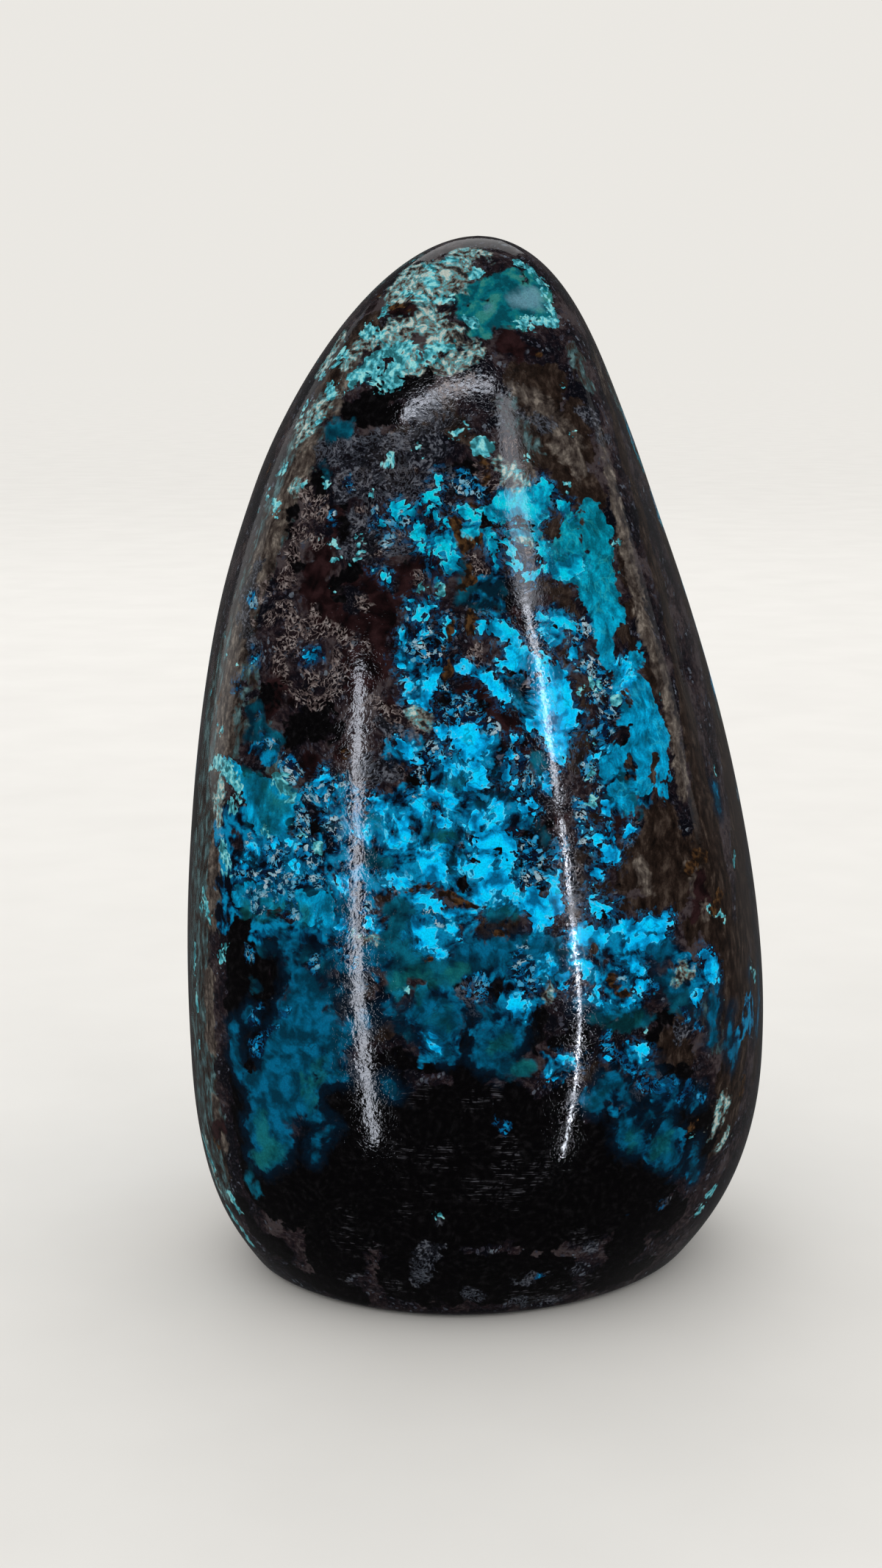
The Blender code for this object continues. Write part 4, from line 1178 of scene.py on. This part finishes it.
class Wiring:
    """Short ways to wire one tree of nodes."""

    def __init__(self, tree):
        self.tree = tree

    def link(self, source, socket):
        """Joins an output to an input."""
        self.tree.links.new(source, socket)

    def put(self, kind, options=None, feeds=None):
        """Adds a node, sets its options, and feeds its inputs with values or other nodes' outputs."""
        node = self.tree.nodes.new(kind)
        for name, value in (options or {}).items():
            setattr(node, name, value)
        for where, source in (feeds or {}).items():
            if isinstance(source, bpy.types.NodeSocket):
                self.link(source, node.inputs[where])
            else:
                node.inputs[where].default_value = source
        return node

    def group(self, tree, feeds):
        """Places a group, with its own values."""
        return self.put("ShaderNodeGroup", {"node_tree": tree}, feeds).outputs

    def maths(self, operation, first, second=0.0):
        """One sum."""
        options = {"operation": operation}
        return self.put("ShaderNodeMath", options, {0: first, 1: second}).outputs[0]

    def chain(self, operation, first, others):
        """The same sum over and over, from the first to the last."""
        for other in others:
            first = self.maths(operation, first, other)
        return first

    def times(self, first, *others):
        """All of them multiplied."""
        return self.chain("MULTIPLY", first, others)

    def plus(self, first, *others):
        """All of them added."""
        return self.chain("ADD", first, others)

    def most(self, first, *others):
        """The largest of them."""
        return self.chain("MAXIMUM", first, others)

    def less(self, first, second):
        """The first less the second."""
        return self.maths("SUBTRACT", first, second)

    def rest(self, share):
        """What a share leaves of the whole."""
        return self.less(1.0, share)

    def swung(self, level, other, strength):
        """A level pushed up and down by another one."""
        return self.plus(level, self.times(self.less(other, 0.5), strength))

    def vector(self, operation, first, second):
        """One sum on places."""
        feeds = {0: first, "Scale" if operation == "SCALE" else 1: second}
        return self.put("ShaderNodeVectorMath", {"operation": operation}, feeds).outputs[0]

    def mixed(self, share, under, over, blend="MIX"):
        """Two colours mixed."""
        options = {"data_type": "RGBA", "blend_type": blend}
        return self.put("ShaderNodeMix", options, {0: share, 6: under, 7: over}).outputs[2]

    def eased(self, value, low, high, to_low=0.0, to_high=1.0):
        """A value taken smoothly from one range to another."""
        options = {"interpolation_type": "SMOOTHSTEP"}
        feeds = {
            "Value": value, "From Min": low, "From Max": high, "To Min": to_low, "To Max": to_high,
        }
        return self.put("ShaderNodeMapRange", options, feeds).outputs["Result"]

    def lumps(self, position, scale, detail, roughness=0.5, distortion=0.0):
        """Soft noise as a level, "Fac", and as a colour."""
        feeds = {
            "Vector": position, "Scale": scale, "Detail": detail,
            "Roughness": roughness, "Distortion": distortion,
        }
        return self.put("ShaderNodeTexNoise", None, feeds).outputs

    def pushed(self, position, push, strength):
        """A place moved by the colours of a noise."""
        centred = self.vector("SUBTRACT", push, (0.5, 0.5, 0.5))
        return self.vector("ADD", position, self.vector("SCALE", centred, strength))

    def line(self, level, full, gone):
        """A thin line where a noise crosses its middle."""
        off_line = self.maths("ABSOLUTE", self.less(level, 0.5))
        return self.eased(off_line, full, gone, 1.0, 0.0)

    def ramp(self, value, stops):
        """Colours laid along a value."""
        node = self.put("ShaderNodeValToRGB", None, {"Fac": value})
        scale = node.color_ramp
        while len(scale.elements) < len(stops):
            scale.elements.new(0.5)
        for element, (place, colour) in zip(scale.elements, stops):
            element.position = place
            element.color = colour
        return node.outputs["Color"]


def new_group(name, inputs, outputs):
    """A shader group with a place and named values put in, and named sockets put out."""
    tree = bpy.data.node_groups.new(name, "ShaderNodeTree")
    tree.interface.new_socket("Position", in_out="INPUT", socket_type="NodeSocketVector")
    for label, value in inputs:
        socket = tree.interface.new_socket(label, in_out="INPUT", socket_type="NodeSocketFloat")
        socket.default_value = value
    for label, kind in outputs:
        tree.interface.new_socket(label, in_out="OUTPUT", socket_type="NodeSocket" + kind)
    start = tree.nodes.new("NodeGroupInput")
    end = tree.nodes.new("NodeGroupOutput")
    return Wiring(tree), start.outputs, end.inputs


def group_swirl():
    """Stirs a place about, so that whatever is drawn there curls as flowing mineral does."""
    wires, given, result = new_group(
        "swirl", (("Size", 1.5), ("Push", 1.0)), (("Position", "Vector"),)
    )
    place = given["Position"]
    push = wires.lumps(place, wires.maths("DIVIDE", 1.0, given["Size"]), 1.0, 0.45)["Color"]
    wires.link(wires.pushed(place, push, given["Push"]), result["Position"])
    return wires.tree


def group_ragged_edge():
    """A mineral's mask: its depth, made ragged by two sizes of noise that push it by their wander."""
    wires, given, result = new_group(
        "ragged_edge",
        (
            ("Depth", 0.0), ("Coarse Size", 1.2), ("Coarse Wander", 0.5),
            ("Fine Size", 0.3), ("Fine Wander", 0.2), ("Softness", 0.1),
        ),
        (("Mask", "Float"), ("Depth", "Float")),
    )
    depth = given["Depth"]
    for size, wander in (("Coarse Size", "Coarse Wander"), ("Fine Size", "Fine Wander")):
        scale = wires.maths("DIVIDE", 1.0, given[size])
        lumps = wires.lumps(given["Position"], scale, 1.0)["Fac"]
        depth = wires.swung(depth, lumps, given[wander])
    low, high = (wires.times(given["Softness"], half) for half in (-0.5, 0.5))
    wires.link(wires.eased(depth, low, high), result["Mask"])
    wires.link(depth, result["Depth"])
    return wires.tree


def group_curls():
    """Thin curling lines that close on themselves, as crusts show where a saw has cut them."""
    wires, given, result = new_group(
        "curls", (("Size", 0.6), ("Width", 0.05), ("Gaps", 0.5)), (("Mask", "Float"),)
    )
    full_width = 0.4  # of the width, at which the line is full
    elsewhere = (17.3, 4.1, 9.7)
    finer = 1.4  # the gaps' noise, against the lines'
    soft = 0.06
    place, width, gaps = given["Position"], given["Width"], given["Gaps"]
    scale = wires.maths("DIVIDE", 1.0, given["Size"])
    level = wires.lumps(place, scale, 1.5, distortion=0.5)["Fac"]
    line = wires.line(level, wires.times(width, full_width), width)
    breaks = wires.vector("ADD", place, elsewhere)
    breaks = wires.lumps(breaks, wires.times(scale, finer), 1.0)["Fac"]
    kept = wires.eased(breaks, wires.less(gaps, soft), wires.plus(gaps, soft))
    wires.link(wires.times(line, kept), result["Mask"])
    return wires.tree


def group_crumbs():
    """Small round lumps, each of its own size and tint; some of them are rings."""
    wires, given, result = new_group(
        "crumbs", (("Size", 0.4), ("Fill", 0.5), ("Rings", 0.2)), (("Mask", "Float"), ("Tint", "Float"))
    )
    uneven, bend = 1.3, 1.1  # how fine the noise that bends the lumps is, and how far it bends them
    least_reach, more_reach, rim = 0.34, 0.30, 0.07
    hollow_share, hollow_rim = 0.42, 0.08
    tint_steps = 7.3
    place, size = given["Position"], given["Size"]
    scale = wires.maths("DIVIDE", 1.0, size)
    push = wires.lumps(place, wires.times(scale, uneven), 1.0)["Color"]
    feeds = {
        "Vector": wires.pushed(place, push, wires.times(size, bend)),
        "Scale": scale, "Randomness": 1.0,
    }
    cells = wires.put("ShaderNodeTexVoronoi", {"feature": "F1"}, feeds).outputs
    chance = wires.put("ShaderNodeSeparateColor", None, {"Color": cells["Color"]}).outputs
    reach = wires.plus(wires.times(chance["Blue"], more_reach), least_reach)
    inside = wires.eased(cells["Distance"], wires.less(reach, rim), reach, 1.0, 0.0)
    core = wires.times(reach, hollow_share)
    hollow = wires.eased(cells["Distance"], core, wires.plus(core, hollow_rim))
    is_ring = wires.maths("LESS_THAN", chance["Green"], given["Rings"])
    ringed = wires.rest(wires.times(is_ring, wires.rest(hollow)))
    present = wires.maths("LESS_THAN", chance["Red"], given["Fill"])
    wires.link(wires.times(inside, ringed, present), result["Mask"])
    wires.link(wires.maths("FRACT", wires.times(chance["Red"], tint_steps)), result["Tint"])
    return wires.tree


# ---------------------------------------------------------------- materials


def pale_floor():
    """A matt pale board, a little uneven in tone."""
    material = bpy.data.materials.new("pale_floor")
    material.use_nodes = True
    surface = material.node_tree.nodes["Principled BSDF"].inputs
    wires = Wiring(material.node_tree)
    place = wires.put("ShaderNodeTexCoord").outputs["Object"]
    grain = wires.lumps(place, 1.0 / FLOOR_GRAIN, 3.0, 0.55)["Fac"]
    darker, lighter = (
        screen(*(value + step for value in FLOOR_TONE)) for step in (-FLOOR_UNEVEN, FLOOR_UNEVEN)
    )
    wires.link(wires.ramp(grain, ((0.3, darker), (0.7, lighter))), surface["Base Color"])
    surface["Roughness"].default_value = FLOOR_ROUGHNESS
    surface["Specular IOR Level"].default_value = 0.0
    return material


class Minerals(Wiring):
    """The stone's minerals, laid over one another from the ground of rock up."""

    def __init__(self, tree):
        super().__init__(tree)
        swirl, curls, crumbs = group_swirl(), group_curls(), group_crumbs()
        self.ragged_edge = group_ragged_edge()
        self.edges = {}
        self.tones = {}
        metres = self.put("ShaderNodeTexCoord").outputs["Object"]
        plain = self.vector("SCALE", metres, 1 / MM)
        stirred = self.group(swirl, {"Position": plain, **BIG_STIR})["Position"]
        slant = {
            "Vector": plain, "Rotation": (0.0, math.radians(SLANT), 0.0), "Scale": SLANT_STRETCH,
        }
        self.places = {
            "plain": plain,
            "stirred": stirred,
            "curled": self.group(swirl, {"Position": stirred, **SMALL_STIR})["Position"],
            "upright": self.vector("MULTIPLY", stirred, UPRIGHT_STRETCH),
            "level": self.vector("MULTIPLY", plain, LEVEL_STRETCH),
            "slanted": self.put("ShaderNodeMapping", None, slant).outputs[0],
        }
        self.across, _, self.height = self.put("ShaderNodeSeparateXYZ", None, {0: plain}).outputs
        self.noises = {
            name: self.lumps(self.shifted(place, offset), 1.0 / size, detail, roughness)["Fac"]
            for name, (place, offset, size, detail, roughness) in NOISES.items()
        }
        self.lines = {}
        for name, (place, offset, size, width, gaps) in LINES.items():
            feeds = {
                "Position": self.shifted(place, offset), "Size": size, "Width": width, "Gaps": gaps,
            }
            self.lines[name] = self.group(curls, feeds)["Mask"]
        self.crumbs = {}
        for name, (place, size, fill, rings) in CRUMBS.items():
            feeds = {"Position": self.places[place], "Size": size, "Fill": fill, "Rings": rings}
            self.crumbs[name] = self.group(crumbs, feeds)

    def shifted(self, place, offset):
        """The same place in another part of the noise."""
        return self.vector("ADD", self.places[place], offset)

    def edge(self, name):
        """A mineral's ragged edge: its mask, and the depth inside it in mm."""
        if name not in self.edges:
            shift, coarse, fine, softness = EDGES[name]
            coarse_size, fine_size = OTHER_SIZES.get(name, EDGE_SIZES)
            offset = tuple(shift * part for part in EDGE_OFFSET)
            feeds = {
                "Depth": self.put("ShaderNodeAttribute", {"attribute_name": name}).outputs["Fac"],
                "Position": self.shifted("curled", offset),
                "Coarse Size": coarse_size, "Coarse Wander": coarse,
                "Fine Size": fine_size, "Fine Wander": fine, "Softness": softness,
            }
            self.edges[name] = self.group(self.ragged_edge, feeds)
        return self.edges[name]

    def mask(self, name):
        """Where a mineral shows, from 0 to 1."""
        return self.edge(name)["Mask"]

    def depth(self, name):
        """How deep a place lies inside a mineral's ragged edge, in mm."""
        return self.edge(name)["Depth"]

    def tone(self, name, level=None):
        """A mineral's tone, along its own noises or along another level."""
        if name not in self.tones:
            follows, stops = TONES[name]
            if level is None:
                first, second, strength = follows
                level = self.noises[first]
                if second:
                    level = self.swung(level, self.noises[second], strength)
            colours = [(place, screen(*colour)) for place, colour in stops]
            self.tones[name] = self.ramp(level, colours)
        return self.tones[name]

    def faded(self, name, value):
        """How far a level has set in."""
        return self.eased(value, *FADES[name])

    def lay(self, share, tone):
        """Lays a tone over all that is there."""
        self.colour = self.mixed(share, self.colour, tone)

    def lay_patches(self, *names):
        """Lays minerals in their own tones, one over the other."""
        for name in names:
            self.lay(self.mask(name), self.tone(name))

    def mark(self, name, share):
        """Lays one of the finer marks."""
        strength, colour = MARKS[name]
        self.lay(self.times(share, strength), screen(*colour))

    def lay_ground(self):
        """Fine dark rock with faint curling lines and specks, under the rock's other kinds, some of
        which carry painted shade on the right face and the foot and a painted reflection on the left
        flank and the ridge.
        """
        self.colour = self.tone("ground")
        self.mark("faint_lines", self.lines["faint"])
        specks = self.crumbs["speck"]
        sprinkled = self.times(specks["Mask"], self.faded("sprinkle", self.noises["sprinkle"]))
        self.lay(sprinkled, self.tone("specks", specks["Tint"]))
        self.lay_patches("brown_and_shade", "slate_and_reflection", "ash_and_reflection", "maroon", "black_and_shade")

    def lay_crusts(self):
        """What copper has stained, and crusts cut across as curling lines and pale threads."""
        self.lay_patches("stained")
        self.mark("crust_bed", self.mask("crust"))
        self.crust_lines = self.times(self.lines["dense"], self.mask("crust"))
        self.lay(self.crust_lines, self.tone("crust"))
        lace = self.mask("lace")
        self.lay(self.times(lace, LACE_STRENGTH), self.tone("lace"))
        threads = self.faded("threads", self.noises["slow"])
        self.mark("threads", self.times(self.lines["dense"], lace, threads))
        self.colour = self.mixed(1.0, self.colour, ROCK_DIMMED, "MULTIPLY")

    def greener(self, tone):
        """A blue that turns greener towards the top of the stone."""
        share = self.faded("greener_above", self.height)
        tint = self.ramp(share, ((0.0, (1.0, 1.0, 1.0, 1.0)), (1.0, GREENER)))
        return self.mixed(1.0, tone, tint, "MULTIPLY")

    def lay_blues(self):
        """The translucent blues, the silky one with its pale veins, and green over them."""
        self.lay_patches("glass", "lens")
        self.mark("pearl", self.mask("pearl"))
        self.mark("halo", self.faded("halo", self.depth("blue")))
        self.lay_patches("blue")
        veins = self.line(self.noises["veins"], *VEIN_WIDTH)
        veins = self.times(veins, self.faded("veins", self.noises["slow"]))
        strength, colour = MARKS["veins"]
        silky = self.mixed(self.times(veins, strength), self.tone("silky"), screen(*colour))
        self.lay(self.mask("silky"), self.greener(silky))
        over_stained = self.times(self.mask("stained"), GREEN_OVER_STAINED)
        over_silky = self.times(self.mask("silky"), GREEN_OVER_SILKY)
        bluish = self.most(self.mask("glass"), self.mask("blue"), over_stained, over_silky)
        self.lay(self.times(self.mask("green"), bluish, GREEN_STRENGTH), self.tone("green"))

    def lay_turquoise(self):
        """Bright turquoise: soft in stained rock, and with a dark seam round it in plain rock."""
        mask, depth, stained = self.mask("turquoise"), self.depth("turquoise"), self.mask("stained")
        about = self.times(self.faded("stain_about", depth), stained)
        self.lay(about, self.tone("stain_about"))
        plain_rock = self.rest(self.most(stained, self.mask("silky")))
        self.mark("seam", self.times(self.faded("seam", depth), plain_rock))
        soft = self.times(stained, self.faded("soft_edges", self.noises["slow"]), SOFT_EDGE)
        soft = self.plus(soft, CRISP_EDGE)
        body = self.eased(depth, self.times(soft, -1.0), soft)
        self.lay(body, self.greener(self.tone("turquoise")))
        lip = self.less(mask, self.faded("lip", depth))
        self.mark("lip", self.times(lip, self.faded("lip_gaps", self.noises["medium"])))
        cracks = self.line(self.noises["cracks"], *CRACK_WIDTH)
        cracks = self.times(cracks, self.faded("crack_gaps", self.noises["crack_gaps"]))
        self.mark("cracks", self.times(cracks, self.most(mask, stained)))

    def lay_crumbs(self):
        """Crumbs of turquoise along its edges, and pale crumbs in the dark."""
        crumb, salt = self.crumbs["pale"], self.mask("salt")
        clear = self.rest(self.mask("turquoise"))
        stray = self.times(self.faded("near_turquoise", self.depth("turquoise")), STRAY_CRUMBS)
        sown = self.times(self.most(salt, stray), clear)
        self.mark("crumb_bed", self.times(salt, clear))
        level = self.swung(crumb["Tint"], self.noises["medium"], CRUMB_SWING)
        paler = self.faded("salt_paler", salt)
        level = self.times(level, paler, self.faded("paler_above", self.height))
        lumps = self.most(crumb["Mask"], self.times(self.lines["dense"], CRUMB_LINES))
        self.lay(self.times(sown, lumps), self.tone("crumbs", level))

    def lay_pale_crusts(self):
        """Pale crusts over all, with islands of rock in them, and rust."""
        self.lay_patches("beige", "mint")
        self.lay(self.mask("islands"), self.tone("brown_and_shade"))
        self.lay(self.mask("inclusions"), self.tone("black_and_shade"))
        self.lay_patches("rust")

    def lay_saw_marks(self):
        """Marks of the saw on the foot, level and steep."""
        marks = self.most(self.lines["level_saw"], self.lines["steep_saw"])
        marks = self.times(self.mask("scratch"), marks)
        self.mark("saw_marks", self.times(marks, self.faded("saw_marks", self.noises["quick"])))

    def lay_grain(self):
        """The fine grain of them all."""
        grain = self.faded("grain", self.noises["fine"])
        grey = self.put("ShaderNodeCombineColor", None, {0: grain, 1: grain, 2: grain}).outputs[0]
        self.colour = self.mixed(1.0, self.colour, grey, "MULTIPLY")

    def roughness(self):
        """A glassy polish, a little duller on brown rock and the painted shade of the right face, and
        along the lines of the crusts.
        """
        rough = self.times(self.mask("brown_and_shade"), BROWN_ROUGHNESS)
        rough = self.plus(rough, self.times(self.crust_lines, CRUST_ROUGHNESS))
        return self.plus(rough, self.faded("polish", self.noises["quick"]))

    def normal(self):
        """The faint relief that polishing leaves between the harder minerals and the softer."""
        etched = self.times(self.noises["quick"], self.faded("etched", self.across))
        relief = self.plus(etched, self.times(self.noises["fine"], FINE_RELIEF))
        relief = self.plus(relief, self.times(self.lines["dense"], LINE_RELIEF))
        unpolished = self.rest(self.mask("black_and_shade"))
        relief = self.plus(relief, self.times(self.noises["mottle"], unpolished, MOTTLE_RELIEF))
        feeds = {"Height": relief, "Distance": RELIEF_HEIGHT, "Strength": 1.0}
        return self.put("ShaderNodeBump", None, feeds).outputs["Normal"]


def polished_minerals():
    """The stone's one material: every mineral in turn, under the same polish."""
    material = bpy.data.materials.new("polished_minerals")
    material.use_nodes = True
    surface = material.node_tree.nodes["Principled BSDF"].inputs
    minerals = Minerals(material.node_tree)
    minerals.lay_ground()
    minerals.lay_crusts()
    minerals.lay_blues()
    minerals.lay_turquoise()
    minerals.lay_crumbs()
    minerals.lay_pale_crusts()
    minerals.lay_saw_marks()
    minerals.lay_grain()
    minerals.link(minerals.colour, surface["Base Color"])
    minerals.link(minerals.roughness(), surface["Roughness"])
    minerals.link(minerals.normal(), surface["Normal"])
    return material


# ---------------------------------------------------------------- the scene

set_camera()
stone = copy_of_solid()
skin = skin_tree(stone)
wear_skin(stone, skin)
spread_minerals(stone, skin)
stone.data.materials.append(polished_minerals())
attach(stone, "root")
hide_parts("chrysocolla_stone")
lay_floor()
set_world()
light_studio()
bpy.context.scene.view_settings.view_transform = "Standard"
